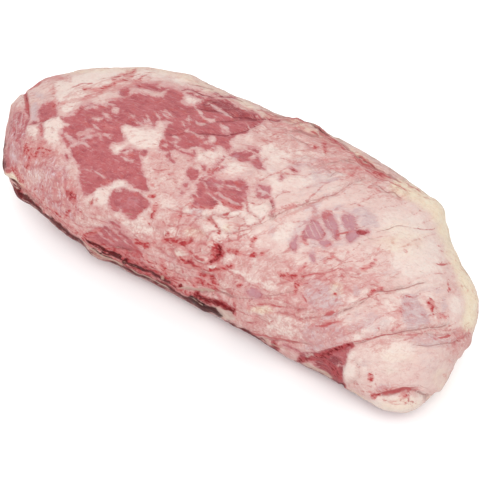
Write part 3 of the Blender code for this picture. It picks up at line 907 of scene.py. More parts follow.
# near-black maroon along the outline of the slim end and the near edge, fading out where the surface faces
# the camera
MARKS[Layer.EDGE] = (
    Line("2,130 2,150 3,168 6,178", 5, 0.8), Line("10,186 20,198 30,205", 4.4, 1),
    Line("30,205 40,212 50,221 60,229 70,237 80,245 90,253", 2.9, 0.85),
    Line("90,254 108,262 120,266 130,271 150,281 170,291 190,302", 8, 0.72),
    Line("228,323 240,329 260,340 276,350", 4, 0.9), Line("296,363 312,371 328,380 344,387", 3.6, 0.9),
)
# plain stretches of fat
MARKS[Layer.SMOOTH] = (
    Spot(376, 222, 12, 8, 0.8, 30),
    Area("256,196 290,190 340,172 396,192 436,212 448,250 452,296 430,300 392,284 352,262 300,262 "
         "256,250", 0.9, 10),
    Area("262,130 300,142 322,160 314,186 280,190 262,176", 0.6, 8),
    Area("352,346 400,338 444,348 448,376 426,394 376,386 352,376", 1, 8),
    Area("60,86 84,76 112,72 150,74 190,80 150,84 100,92 70,102", 0.7, 5),
    Area("340,305 380,296 400,300 396,328 352,338 340,326", 0.5, 7),
    Area("250,264 280,262 296,280 280,296 248,288", 0.5, 7),
    Area("362,398 384,398 420,396 426,402 400,412 378,410", 0.9, 4),
    Area("440,300 462,290 474,304 470,330 446,330", 0.9, 6),
    Area("176,248 206,250 250,258 250,276 206,268 176,262", 0.3, 6),
)


@dataclass(frozen=True)
class Groove:
    """A crease: a furrow with a slightly raised lip.

    path, width: its course and width in pixels
    depth_mm: depth at its middle
    line_shade: how much painted shade is laid along its line
    """

    path: Path
    width: float = 3.0
    depth_mm: float = 0.8
    line_shade: float = 0.6

    def relief(self, gap: np.ndarray) -> np.ndarray:
        """Shapes the furrow and its lip.

        Args:
            gap: Distances from the course in pixels.

        Returns:
            The height at each distance, in millimetres.
        """
        gap = gap / (self.width + 1)
        furrow = -np.exp(-((gap * FURROW_STEEPNESS) ** 2))
        lip = LIP_HEIGHT * np.exp(-(((gap - LIP_PLACE) * LIP_STEEPNESS) ** 2))
        return self.depth_mm * (furrow + lip)


GROOVES: tuple[Groove, ...] = (
    Groove("223,232 232,233 242,231 252,228 262,223 274,216", 2.4, 0.6, 0.5),
    Groove("272,218 286,210 300,204 312,200 324,197 334,194 342,190 350,185 358,181 368,178", 3, 0.6, 0.5),
    Groove("272,219 273,212 272,204 268,199", 2.4, 0.5, 0.6),
    Groove("280,217 292,210 306,204 320,200", 2.6, 0.4, 0.4),
    Groove("310,166 325,164 340,160 352,160 362,163", 3, 0.5, 0.5),
    Groove("296,157 310,156 324,160 330,168", 3.2, 0.4, 0.4),
    Groove("330,188 344,184 356,178 370,176 386,179", 2.6, 0.4, 0.4),
    Groove("340,312 350,308 360,304 366,299 372,294 380,291 392,290 400,288 412,286 420,284 428,282", 2,
           0.8, 0.75),
    Groove("428,282 440,284 448,284", 1.8, 0.3, 0.4),
    Groove("344,305 354,302 362,297 368,291 376,287", 2.6, 0.4, 0.4),
    Groove("300,322 310,318 325,316 335,314 345,311 352,308 362,302", 2.6, 0.5, 0.5),
    Groove("300,314 314,312 326,310", 2.4, 0.35, 0.4),
    Groove("352,344 365,341 380,337 392,334 400,332 410,331 420,329 430,328 440,326 450,324", 2, 0.8, 0.7),
    Groove("414,345 425,346 440,345 452,343 460,339", 2, 0.5, 0.6),
    Groove("412,332 428,335 444,335 458,331", 2.6, 0.4, 0.5),
    Groove("376,395 384,394 394,392 402,390 410,388 418,387", 2.4, 0.7, 0.7),
    Groove("380,397 392,395 402,393 412,391 418,392 424,395 430,398", 2.8, 1.3, 0.8),
    Groove("374,233 380,230 390,228 400,226 412,227", 2, 0.3, 0.6),
    Groove("412,228 425,230 438,227", 1.8, 0.25, 0.4),
    Groove("182,289 192,290 202,291 214,292 224,294 234,299", 2.6, 0.9, 1),
    Groove("190,266 200,270 212,276", 2.4, 0.6, 0.9),
    Groove("172,268 185,270 198,274 212,278", 2.4, 0.5, 0.5),
    Groove("178,276 192,278 206,281", 2.2, 0.4, 0.4),
    Groove("150,258 160,264 172,272 186,278", 2.2, 0.5, 0.55),
    Groove("146,262 156,272 168,279 180,284", 2.2, 0.5, 0.6),
    Groove("174,246 171,254 174,262", 2.4, 0.4, 0.45),
    Groove("234,299 246,299 258,298 270,297 286,293 300,288", 2.4, 0.5, 0.55),
    Groove("262,302 275,306 290,309 306,311", 2.6, 0.5, 0.45),
    Groove("245,313 262,317 280,318 294,315 304,311", 2.4, 0.4, 0.4),
    Groove("245,323 260,322 276,320", 2, 0.4, 0.35),
    Groove("262,338 276,341 292,343 312,345", 2.2, 0.6, 0.7),
    Groove("208,219 214,222 218,228 219,234 222,238", 2.4, 0.7, 0.6),
    Groove("200,216 210,218 218,217 226,215 231,209", 2.2, 0.5, 0.3),
    Groove("232,222 240,219 250,217 258,218", 2.2, 0.5, 0.3),
    Groove("112,249 120,250 132,252", 2, 0.5, 0.9),
    Groove("288,131 300,132 308,134 315,136 320,134", 2.4, 0.6, 0.9),
    Groove("320,134 326,137 333,141 341,143 348,149 356,156", 2.6, 0.7, 0.9),
    Groove("320,132 328,133 336,137", 2, 0.4, 0.7),
    Groove("288,126 298,126 306,124 314,124", 2.4, 0.5, 0.8),
    Groove("286,134 298,139 305,142 310,147", 2, 0.5, 0.55), Groove("268,127 278,128 290,130", 2, 0.4, 0.5),
    Groove("300,128 312,129 322,129", 1.8, 0.4, 0.5),
    Groove("356,156 364,163 372,168 382,170 392,175 402,182", 2.6, 0.7, 0.85),
    Groove("350,151 362,159 374,166 388,172", 1.8, 0.4, 0.7),
    Groove("344,161 352,162 360,162 368,167", 2, 0.5, 0.6),
    Groove("374,183 382,188 388,192 394,191 398,196 405,199", 2, 0.5, 0.75),
    Groove("366,184 376,185 384,184", 1.8, 0.3, 0.35),
    Groove("262,118 272,119 282,121 292,124", 2.4, 0.7, 1),
    Groove("256,110 268,112 280,116 292,119", 2.2, 0.6, 0.9),
    Groove("262,114 274,115 284,118", 1.6, 0.4, 0.6),
    Groove("196,107 208,109 220,111 228,114 240,116 258,117 270,118", 2.2, 0.6, 0.6),
    Groove("163,134 172,134 180,133 190,129", 2, 0.5, 0.5),
    Groove("190,131 205,132 218,134 230,135 242,131 252,127 264,123", 2.2, 0.6, 0.6),
    Groove("196,122 212,123 228,120 244,118 260,118", 2, 0.5, 0.5),
    Groove("182,89 190,88 198,92 208,95 220,98", 1.8, 0.5, 0.7),
    Groove("190,85 204,87 216,90", 1.8, 0.4, 0.6), Groove("212,91 222,96 236,99 246,104", 1.8, 0.5, 0.7),
    Groove("8,150 8,135 11,122 16,110", 2, 0.5, 0.6), Groove("13,142 14,129 17,118 22,109", 2.2, 0.5, 0.5),
    Groove("5,146 6,133 9,120 13,110", 1.8, 0.4, 0.6), Groove("24,92 27,100 28,108 26,116", 2.4, 0.9, 0.5),
    Groove("30,123 40,121 50,118", 1.8, 0.5, 0.6),
    Groove("9,177 14,181 20,188 30,198 42,208", 2.2, 0.8, 0.9),
    Groove("26,192 38,201 50,213 60,224", 1.6, 0.4, 0.5),
    Groove("60,224 72,234 84,242 96,249", 1.8, 0.4, 0.8),
    Groove("328,178 333,174 338,171 344,173", 2.2, 0.7, 0.6),
    Groove("350,345 347,353 344,361 342,372 343,384", 2.4, 0.8, 0.2),
    Groove("345,384 353,383 359,377 360,368 356,361", 2, 0.5, 0.4),
    Groove("452,291 460,293 468,296 474,300", 1.8, 0.25, 0.3),
    Groove("430,362 440,361 450,365", 2, 0.3, 0.3), Groove("458,340 464,337 470,333", 2, 0.5, 0.7),
)

BEHIND_GROOVES: tuple[Groove, ...] = (
    Groove("84,216 120,223 160,219 210,226", 4, 1), Groove("226,214 270,222 320,226 372,242", 4, 1.1),
    Groove("88,258 120,250 148,246", 4, 0.9), Groove("322,284 360,277 404,280", 4, 0.9),
    Groove("120,284 180,279 240,287 306,282", 4, 1), Groove("180,212 240,210 300,216", 3.6, 0.7),
    Groove("352,226 380,244 398,262", 3.6, 0.8),
)

# Rounded lobules of fat and low swellings: centre, radii, turn, height in mm
LOBULES: tuple[tuple[float, float, float, float, float, float], ...] = (
    (222, 208, 9, 7, 0, 0.7), (209, 212, 7, 6, 0, 0.5), (241, 213, 10, 6, 0, 0.7), (263, 211, 8, 8, 0, 0.6),
    (250, 223, 6, 5, 0, 0.5), (228, 226, 8, 7, 0, 0.6), (209, 227, 9, 7, 0, 0.6), (235, 240, 14, 5, 0, 0.4),
    (204, 258, 9, 5, 20, 0.7), (212, 266, 6, 3, 10, 0.5), (245, 246, 10, 5, 0, 0.4),
    (177, 252, 7, 7, 0, 0.6), (268, 286, 9, 8, 0, 0.5), (230, 284, 12, 8, 0, 0.4),
    (350, 370, 9, 11, 0, 0.9), (353, 354, 6, 7, 0, 0.5), (337, 177, 8, 5, -20, 0.5),
    (278, 184, 12, 10, 0, 0.5), (232, 169, 15, 8, 0, 0.5), (207, 156, 14, 8, 0, 0.4),
    (142, 138, 18, 11, 0, 0.5), (54, 130, 11, 12, 0, 0.6), (31, 131, 8, 7, 0, 0.6), (400, 403, 26, 8, 0, 1),
    (430, 304, 4, 7, -15, 0.3), (395, 314, 20, 14, 0, 0.4), (400, 250, 36, 22, 0, 0.6),
    (345, 150, 20, 6, 28, 0.5), (395, 186, 16, 4, 25, 0.4), (122, 183, 14, 4, 30, 0.4),
    (360, 255, 14, 10, 0, 0.4), (300, 178, 20, 10, 0, 0.4), (285, 328, 22, 9, 8, 0.5),
    # bulges of the outline
    (15, 101, 18, 14, -40, 1.9), (187, 77, 20, 5, 12, 1.8), (398, 408, 26, 6, 0, 1.5),
    (42, 82, 20, 9, -25, 1.6), (5, 170, 10, 14, 0, 1.4), (305, 124, 30, 9, 10, 2.2),
    (441, 208, 14, 14, 45, 2.4), (456, 250, 9, 14, -25, 1.8), (470, 344, 7, 7, 0, 1.2),
    (449, 228, 8, 12, -10, 1), (448, 380, 6, 6, 0, 0.6), (438, 388, 12, 9, -30, 1.8),
    (203, 305, 14, 6, 28, 1.4), (18, 198, 12, 8, 40, 1.5),
)

# Hollows: centre, radii, turn, depth in mm
HOLLOWS: tuple[tuple[float, float, float, float, float, float], ...] = (
    (219, 255, 4, 9, 5, 1.6), (330, 366, 16, 14, 20, 1.2), (80, 160, 26, 26, 0, 0.4),
    (336, 226, 40, 16, 0, 0.5), (322, 300, 24, 14, -10, 0.5), (417, 312, 14, 14, 0, 0.4),
    (366, 366, 6, 8, 0, 0.5), (190, 276, 18, 4, 14, 0.5), (258, 192, 10, 8, 0, 0.4),
    (80, 248, 10, 7, 40, 1.2), (112, 266, 10, 6, 20, 0.9), (457, 363, 7, 5, -30, 1.2),
    (434, 398, 9, 6, -30, 2.6),
)


@dataclass(frozen=True)
class Cushions:
    """Lobules of fat that swell between seams, where the marks say so.

    seed: which scatter of lobules
    size: length and width of a lobule in pixels
    turn: degrees from the picture's x to its length
    rise_mm: how far it swells
    seam: width of its seam as a share of the lobule
    zone: where such lobules lie
    """

    seed: int
    size: tuple[float, float]
    turn: float
    rise_mm: float
    seam: float
    zone: tuple[Mark, ...]


CUSHIONS: tuple[Cushions, ...] = (
    # grapes of fat in the middle of the near side
    Cushions(7, (15, 11), 8, 0.75, 0.2, (
        Area("176,200 230,196 262,196 280,205 276,220 250,232 236,262 206,270 170,262 160,236 166,214", 1,
             6),
        Area("180,258 250,250 300,262 300,300 240,300 196,286", 0.5, 7),
        Area("230,300 300,296 344,300 350,345 300,350 250,335", 0.4, 7),
        Area("150,140 200,148 226,160 190,200 150,200 144,170", 0.55, 7),
        Area("100,180 150,190 170,230 140,246 110,220", 0.5, 6),
        Area("300,250 370,244 378,270 350,290 310,290", 0.4, 6),
        Area("345,350 380,360 380,392 345,386", 0.5, 5), Area("24,120 66,118 62,148 30,150", 0.5, 5),
        Area("256,130 330,140 340,170 290,190 256,180", 0.45, 7),
    )),
    # long folds that rise to the right
    Cushions(12, (74, 13), -17, 0.42, 0.13, (
        Area("250,125 330,140 420,190 446,240 450,300 460,340 420,350 340,345 290,330 270,280 280,230 "
             "256,190", 0.8, 10),
    )),
    # folds that follow the near edge
    Cushions(10, (62, 12), 22, 0.5, 0.16, (
        Area("26,170 70,200 140,222 200,250 290,290 310,340 270,345 200,310 120,262 60,226", 0.9, 8),
        Area("60,82 110,74 170,74 240,96 300,122 380,168 330,150 240,116 170,96 100,100", 0.6, 5),
    )),
)


# The far side, in the same manner as the side that shows. Its pixels are those of the
# plane behind the piece, where the slim end is on the right. The underside and the foot
# of the near side face neither plane, and are plain lean with strips of membrane.
BEHIND_WINDOWS: tuple[Path, ...] = (
    ("146,254 156,244 170,247 182,238 196,240 206,233 222,236 236,231 246,239 262,236 274,243 290,240 "
     "298,248 314,251 326,262 308,263 296,270 282,263 270,271 252,266 244,275 228,270 216,279 202,270 "
     "190,274 178,266 164,270 158,261"),
    "300,214 318,210 334,214 350,212 364,220 352,224 338,221 326,226 310,221",
    "330,236 338,232 348,231 357,236 352,243 344,247 336,244",
    "96,236 104,229 113,231 121,226 130,231 126,238 117,237 112,243 103,240",
    "372,262 376,256 384,255 390,262 386,270 388,277 379,276 375,270",
    ("60,302 84,294 104,302 126,298 140,306 168,298 196,304 214,296 236,304 262,308 284,300 310,306 "
     "334,298 356,306 384,298 402,305 416,299 428,308 440,318 430,345 60,345"),
)

BEHIND_FAT_ON_LEAN: tuple[Mark, ...] = (
    Line("170,252 186,256 200,252 212,255", 2.4), Line("176,262 190,265", 2),
    Line("214,244 228,248 240,245", 2), Line("262,250 276,255 292,254", 2.2), Line("196,246 204,243", 2),
    Line("282,260 296,258 306,260", 2), Line("230,236 236,242 246,246", 1.8), Spot(250, 257, 8, 4, 1, -15),
    Spot(236, 264, 5, 2.6, 1, 10), Spot(222, 262, 5, 2.2, 1, 20),
    Area("200,257 212,253 222,257 214,263 204,263"), Line("334,241 344,237 354,238", 2),
    Line("308,216 324,219 342,217", 2), Line("104,236 114,234 124,231", 2),
    Line("78,306 110,310 150,308 186,312", 2.6), Line("210,308 246,313 290,308 320,312", 2.4),
    Line("340,306 372,311 410,309", 2.6), Spot(200, 306, 12, 3, 1, 4), Spot(330, 308, 14, 3, 1, -4),
)

BEHIND_MARKS: dict[Layer, tuple[Mark, ...]] = {}
BEHIND_MARKS[Layer.ROSE] = (
    Area("80,250 140,240 180,280 300,280 400,260 420,300 300,305 100,305", 0.7, 9),
    Area("200,210 280,214 360,232 400,256 340,262 250,240", 0.5, 9),
    Area("110,215 180,212 190,236 130,246", 0.35, 8), Area("350,250 400,250 410,290 360,292", 0.75, 7),
)
BEHIND_MARKS[Layer.IVORY] = (
    Area("44,200 90,190 100,226 80,268 50,270", 0.6, 10),
    Line("90,300 160,292 240,294 330,292 400,288", 9, 0.5), Spot(240, 216, 40, 9, 0.6, 4),
)
BEHIND_MARKS[Layer.PALE] = (
    Spot(150, 224, 24, 10, 0.9), Spot(214, 222, 30, 9, 0.8, 4), Spot(300, 232, 30, 10, 0.8, 12),
    Spot(110, 262, 18, 12, 0.6), Spot(340, 268, 22, 10, 0.6), Spot(250, 286, 40, 6, 0.7),
    Spot(150, 286, 26, 7, 0.6),
)
BEHIND_MARKS[Layer.VEIL] = (
    Spot(180, 228, 20, 6, 0.8), Spot(330, 250, 14, 12, 0.7), Spot(134, 254, 10, 12, 0.6),
    Spot(270, 262, 30, 8, 0.5), Spot(386, 252, 12, 10, 0.7),
    Area("150,250 200,236 230,250 200,270 160,266", 0.6, 8),
    Area("300,206 370,212 360,230 300,226", 0.7, 6), Spot(290, 256, 24, 8, 0.8, 10),
    Spot(112, 234, 16, 7, 0.6, -10),
)
BEHIND_MARKS[Layer.BLOOD] = (
    Line("130,228 150,223 168,229", 3.4, 0.8), Line("208,230 228,224 240,226", 3, 0.75),
    Line("262,228 280,234 296,236", 3.6, 0.7), Line("330,264 344,271 356,270", 3.6, 0.9),
    Line("366,240 371,250 370,258", 3, 0.8), Line("96,262 108,269 120,268", 3, 0.8),
    Line("176,287 190,284 206,286", 3.4, 0.9), Line("384,280 396,284 406,282", 3, 0.8),
    Line("240,282 262,284 280,280", 3, 0.6), Line("150,248 144,258 150,268", 4, 0.6),
    Spot(322, 244, 4, 3, 0.9), Spot(88, 246, 3, 4, 0.8), Spot(300, 244, 4, 3, 0.6),
    Area("60,296 200,290 420,292 430,304 200,304 60,306", 0.35, 5),
)
# painted shade on the far side's lean: low down near the table, and along the lower rim of its big window
BEHIND_MARKS[Layer.DEEP] = (
    Line("70,316 160,312 260,316 360,312 430,314", 9, 0.7),
    Line("160,262 190,268 230,270 270,266 310,264", 4, 0.6),
)


class Plane(Enum):
    """A side of the piece. Marks are drawn on the first two, and the third is plain."""

    PHOTO = "photo"
    BEHIND = "behind"
    BELOW = "below"


class MarkedSurface:
    """The marks gathered at each vertex of the piece."""

    def __init__(self, points: np.ndarray, normals: np.ndarray) -> None:
        """Keeps the vertices and finds which plane each one faces.

        Args:
            points: The vertices, one a row.
            normals: Their normals.
        """
        self.points = points
        self.facing = PHOTO.facing(points, normals)
        shown = eased(self.facing, *SHOWN)
        below, near = eased(-normals[:, 2], *DOWNWARDS), eased(-normals[:, 1], *NEARWARDS)
        under = np.maximum(below, near) * (1.0 - shown)
        rest = 1.0 - shown - under
        self.share = {Plane.PHOTO: shown, Plane.BELOW: under, Plane.BEHIND: rest}
        planes = {Plane.PHOTO: PHOTO, Plane.BEHIND: BEHIND}
        self.spots = {key: plane.wandering(points) for key, plane in planes.items()}

    def near(self, plane: Plane, mark: Mark) -> np.ndarray:
        """Finds the vertices that a mark can reach.

        Args:
            plane: The plane that it is drawn on.
            mark: The mark.

        Returns:
            Their indices.
        """
        low, high = mark.box()
        spots = self.spots[plane]
        close = (spots >= low).all(axis=1) & (spots <= high).all(axis=1)
        return np.nonzero(close & (self.share[plane] > 0))[0]

    def coverage(self, plane: Plane, marks: tuple[Mark, ...]) -> np.ndarray:
        """The strongest of the marks at each vertex.

        Args:
            plane: The plane that they are drawn on.
            marks: The marks.

        Returns:
            One amount a vertex, faded out where the plane isn't faced.
        """
        total = np.zeros(len(self.points))
        for mark in marks:
            near = self.near(plane, mark)
            total[near] = np.maximum(total[near], mark.amount(self.spots[plane][near]))
        return total * self.share[plane]

    def threads(self, plane: Plane, lines: list[Line]) -> tuple[np.ndarray, np.ndarray]:
        """Lays lines that are finer than the mesh.

        The mesh keeps on which side of the nearest line a vertex lies, so that the
        material can draw the line sharply where the side changes.

        Args:
            plane: The plane that they are drawn on.
            lines: The lines.

        Returns:
            How strong the nearest line is, and how far to its side each vertex lies in
            half widths of it, up to SIDE_LIMIT either way.
        """
        strength, side = np.zeros(len(self.points)), np.full(len(self.points), SIDE_LIMIT)
        for line in lines:
            near = self.near(plane, line)
            signed, to_end = beside(rounded(line.path, False), self.spots[plane][near])
            offset = np.clip(signed / (line.width / 2), -SIDE_LIMIT, SIDE_LIMIT)
            closer = np.abs(offset) < np.abs(side[near])
            starts, ends = line.width / 2 + THREAD_FADE[0], line.width + THREAD_FADE[1]
            fade = 1.0 - eased(np.abs(signed), starts, ends)
            fade *= TIP + (1.0 - TIP) * eased(to_end, 0.0, TIP_PX)
            side[near[closer]] = offset[closer]
            strength[near[closer]] = (line.strength * fade)[closer]
        return strength * self.share[plane], side

    def cushions(self, kind: Cushions) -> tuple[np.ndarray, np.ndarray, np.ndarray]:
        """Lays lobules over the side that shows, and plain ones over the hidden side.

        Args:
            kind: The lobules.

        Returns:
            How far in from a seam each vertex lies, a random number for its lobule,
            and how strongly the lobules show there.
        """
        shown = self.share[Plane.PHOTO] > 0.5
        spots = np.where(shown[:, None], self.spots[Plane.PHOTO], self.spots[Plane.BEHIND])
        inside, tone = cells(bent(spots, LOBULE_BEND), kind.size, kind.turn, kind.seed)
        zone = self.coverage(Plane.PHOTO, kind.zone)
        zone += HIDDEN_LOBULES * (1.0 - eased(self.share[Plane.PHOTO], 0.0, 0.5))
        return inside, tone, zone

    def lean_depth(
        self, plane: Plane, windows: tuple[Mark, ...], islets: tuple[Mark, ...]
    ) -> np.ndarray:
        """Distance in from the rim of the nearest lean window, in millimetres.

        Args:
            plane: The plane that the windows are drawn on.
            windows: The lean that shows.
            islets: Fat that lies on the lean.

        Returns:
            One distance a vertex, negative on the fat, up to DEPTH_LIMIT_MM either way.
        """
        limit = DEPTH_LIMIT_MM / MM_PER_PX
        depth = np.full(len(self.points), -limit)
        for mark in windows:
            near = self.near(plane, mark)
            depth[near] = np.maximum(depth[near], mark.inside(self.spots[plane][near]))
        for mark in islets:
            near = self.near(plane, mark)
            depth[near] = np.minimum(depth[near], -mark.inside(self.spots[plane][near]))
        return np.clip(depth, -limit, limit) * MM_PER_PX


# ---- the meat


@dataclass(frozen=True)
class Grain:
    """A noise that is drawn out along a direction.

    size_mm: length along the direction, width across it and height
    turn: degrees from X to the direction
    detail: octaves below the first
    """

    size_mm: tuple[float, float, float]
    turn: float = 0.0
    detail: float = 5.0


@dataclass(frozen=True)
class Coat:
    """One colour laid over the meat where a mask and a broken noise let it.

    layer: the mark that says where, or None for everywhere
    hexes: the coat's two tones, as sRGB hex colours
    grain: the noise that breaks it up
    break_up: how far the noise shifts the mask
    start, full: mask values where the coat begins and is full
    strength: how much it covers at most
    tone: the noise that mixes the two tones
    veined: whether the noise draws thin crooked lines instead of patches
    lined: whether the layer is one of threads
    within: another coat that bounds this one
    """

    name: str
    layer: Layer | None
    hexes: str
    grain: Grain
    break_up: float
    start: float
    full: float
    strength: float = 1.0
    tone: Grain = Grain((4, 4, 4), 0, 3)
    veined: bool = False
    lined: bool = False
    within: str = ""


# The coats from the fat cover upwards
COATS: tuple[Coat, ...] = (
    # fat cover: pink-white, clouded over 10 to 20 mm, finely mottled
    Coat("fat_cloud", None, "E8C4BD F3D9D0", Grain((12, 9, 9), 50), 1, 0.36, 0.62, 1),
    Coat("fat_mottle", None, "E0B0AA DDA8A4", Grain((3.6, 2.2, 2.6), 20, 7), 1, 0.5, 0.68, 0.42),
    # blood under the fat, more of it where the rose layer is strong; at the slim end it also carries
    # painted shade
    Coat("blush", Layer.ROSE, "E0A6A2 DA9D9B", Grain((9, 4.5, 6), 30, 7), 3.2, 0.1, 1.15, 0.85),
    Coat("blush_patch", Layer.ROSE, "D48B88 D99592", Grain((7, 3.2, 4), 20, 6), 4.6, 0.65, 1.8, 0.75),
    Coat("blush_fleck", Layer.ROSE, "C45F5F CC6F6D", Grain((4.4, 1.8, 2.4), 15, 6), 5, 1.25, 2.05, 0.65),
    Coat("smooth_fat", Layer.SMOOTH, "F5DCD3 EFCFC7", Grain((11, 7, 8), 50, 3), 2, 0.15, 1.1, 0.72,
         Grain((9, 6, 7), 50, 2)),
    # reddish seams between lobules, darkened with painted shade in the hollows between them
    Coat("seam", Layer.SEAM, "CD7875 C2686B", Grain((3, 2, 2), 20, 6), 2.6, 0.25, 0.95, 0.75),
    # white fat, partly painted highlight on the raised lobules and on fat that faces away from the lamps
    Coat("pale_fat_and_highlight", Layer.PALE, "F8E7DD F5DDD4", Grain((5, 3.2, 3.4), 0, 7), 1.8, 0.2, 0.8, 0.9),
    Coat("ivory_fat", Layer.IVORY, "FDF0D6 F8E4C6", Grain((16, 5, 5), 50), 0.8, 0.1, 0.95, 0.88),
    Coat("veil", Layer.VEIL, "D9C1C1 CFB4B8", Grain((6, 2.6, 3), 50, 7), 1.6, 0.15, 0.95, 0.75),
    Coat("vessel", Layer.ROSE, "C9706C D08480", Grain((9, 4, 6), 50, 3), 7, 0, 0.6, 0.4, veined=True),
    Coat("fat_wisp", None, "FBEFE8 F7E4DC", Grain((3.6, 0.9, 1.6), 40, 7), 1, 0.53, 0.7, 0.5),
    Coat("fat_grain", None, "CF9894 D6A29E", Grain((1.5, 0.9, 1.1), 30, 4), 1, 0.54, 0.7, 0.4),
    # painted shade along the creases, on the fat
    Coat("crease_shade_line", Layer.CREASE, "C08580 A47470", Grain((4, 2, 2), 20, 6), 0.9, 0.18, 0.62, 0.7,
         lined=True),
    # thin fat at the rims, that lets the lean show through
    Coat("thin_fat", Layer.LEAN, "D9A1A1 D39899", Grain((5, 2.4, 3), 10, 7), 6, -2.2, 0, 0.6),
    Coat("lean", Layer.LEAN, "C97679 BF686C", Grain((4.2, 1.8, 2.4), 5, 9), 6.5, -0.6, 0.8, 1,
         Grain((8, 5, 6), 30, 4)),
    # painted shade on the lean, in its furrows and recesses
    Coat("lean_shade", Layer.DEEP, "A0444A 8C3A42", Grain((4, 1.6, 2.4), 10, 8), 1.4, 0.2, 0.9, 0.9,
         within="lean"),
    Coat("lean_dark", None, "AC575E B26066", Grain((7, 2.6, 3.4), 8, 8), 1, 0.48, 0.64, 0.8, within="lean"),
    Coat("lean_red", None, "C65B58 CB6A66", Grain((7, 3.6, 4), 10, 7), 1, 0.53, 0.68, 0.7, within="lean"),
    Coat("lean_line", None, "A04E56 A8565E", Grain((8, 0.7, 1.2), 2, 5), 1, 0.55, 0.72, 0.6, within="lean"),
    # pale wisps in the lean, partly painted glints of wet muscle
    Coat("lean_wisp_and_glint", None, "DDA9AA E4BAB9", Grain((4.6, 0.7, 1.3), 4, 7), 1, 0.52, 0.72, 0.65,
         within="lean"),
    Coat("lean_grain", None, "DA9C9E D89A9C", Grain((1.2, 0.8, 0.9), 60, 3), 1, 0.56, 0.72, 0.45,
         within="lean"),
    Coat("lean_veil", Layer.VEIL, "D2A8AE CC97A0", Grain((5, 2.4, 3), 50, 7), 1.6, 0.25, 1, 0.75,
         within="lean"),
    # painted shade along the creases, on the lean
    Coat("lean_crease_shade", Layer.CREASE, "8A3C44 7C3038", Grain((4, 2, 2), 10, 6), 0.9, 0.18, 0.6, 0.85,
         lined=True, within="lean"),
    Coat("sinew", Layer.SINEW, "E3C0BD D9B0AE", Grain((4, 2, 2), 10, 6), 1.2, 0.35, 0.85, 0.75, lined=True),
    # torn fibres of the slim end, that stand upright; their palest strands are partly painted glints
    Coat("fibre_red", Layer.FIBRE, "C97E81 C07074", Grain((2.6, 2.6, 8), 34, 9), 3.4, 0.7, 1.45, 0.75),
    Coat("fibre_pale", Layer.FIBRE, "EEDCE0 E6C8CC", Grain((1.9, 1.9, 5), 34, 9), 3.4, 0.95, 1.6, 0.78),
    Coat("fibre_lilac_glint", Layer.FIBRE, "EDE0EA E8D2DA", Grain((0.9, 0.9, 5), 34, 6), 4.4, 1.3, 1.95, 0.72),
    Coat("fibre_blood", Layer.FIBRE, "C0646A B5575E", Grain((1.6, 1.6, 5), 34, 8), 4.4, 1.3, 1.9, 0.85),
    # blood, from a wash to a clot
    Coat("stain", Layer.BLOOD, "DD908C D98381", Grain((5, 2.4, 3), 20, 8), 3, 0.05, 1, 0.8),
    Coat("clot_halo", Layer.CLOT, "C25A5C B54A50", Grain((4, 2, 3), 20, 8), 2.4, 0.02, 0.7, 0.85),
    Coat("vein", Layer.VEIN, "C65F60 BC4C50", Grain((4, 2, 2), 15, 6), 1.2, 0.2, 0.62, 0.8, lined=True),
    Coat("blood", Layer.BLOOD, "C44649 A82E35", Grain((3.4, 1.3, 1.8), 15, 8), 4.4, 0.5, 1.3, 0.95,
         Grain((3, 2, 2), 20, 5)),
    Coat("clot", Layer.CLOT, "8C141B 62060E", Grain((2.6, 1.2, 1.6), 10, 8), 4, 0.45, 1.3, 1,
         Grain((3, 2, 2), 20, 5)),
    Coat("dried", Layer.DRIED, "542020 3A1415", Grain((6, 1.2, 1.6), 5, 7), 2, 0.3, 1, 1),
    Coat("tear", Layer.TEAR, "641419 420C10", Grain((4, 2, 2), 10, 6), 1.4, 0.22, 0.66, 0.92, lined=True),
    Coat("edge", Layer.EDGE, "7C0E18 56050D", Grain((7, 1.4, 1.8), 5, 8), 2.6, 0.25, 1.1, 1),
    Coat("silver", Layer.SILVER, "CBA59E DEC6BA", Grain((8, 1.4, 1.8), 5, 7), 1.5, 0.35, 0.85, 0.9),
    Coat("rim_sinew", Layer.RIDGE, "DCC2B4 C9A08F", Grain((4, 2, 2), 10, 6), 1.2, 0.25, 0.7, 0.85,
         lined=True),
    Coat("under_dark", Layer.UNDER, "9C4047 7C2831", Grain((18, 3, 3), 0, 7), 2.6, 0.25, 1.35, 0.9),
    Coat("under_silver", Layer.UNDER, "DDBFB6 C89F99", Grain((34, 1.5, 1.5), 0, 8), 4.6, 1.15, 1.9, 0.75),
    # painted shade, brown, along the outline where the surface turns away from the camera
    Coat("outline_shade", Layer.BARK, "BC9F86 A68A74", Grain((9, 1.4, 2), 25, 8), 5, 0.4, 1.4, 0.66),
)


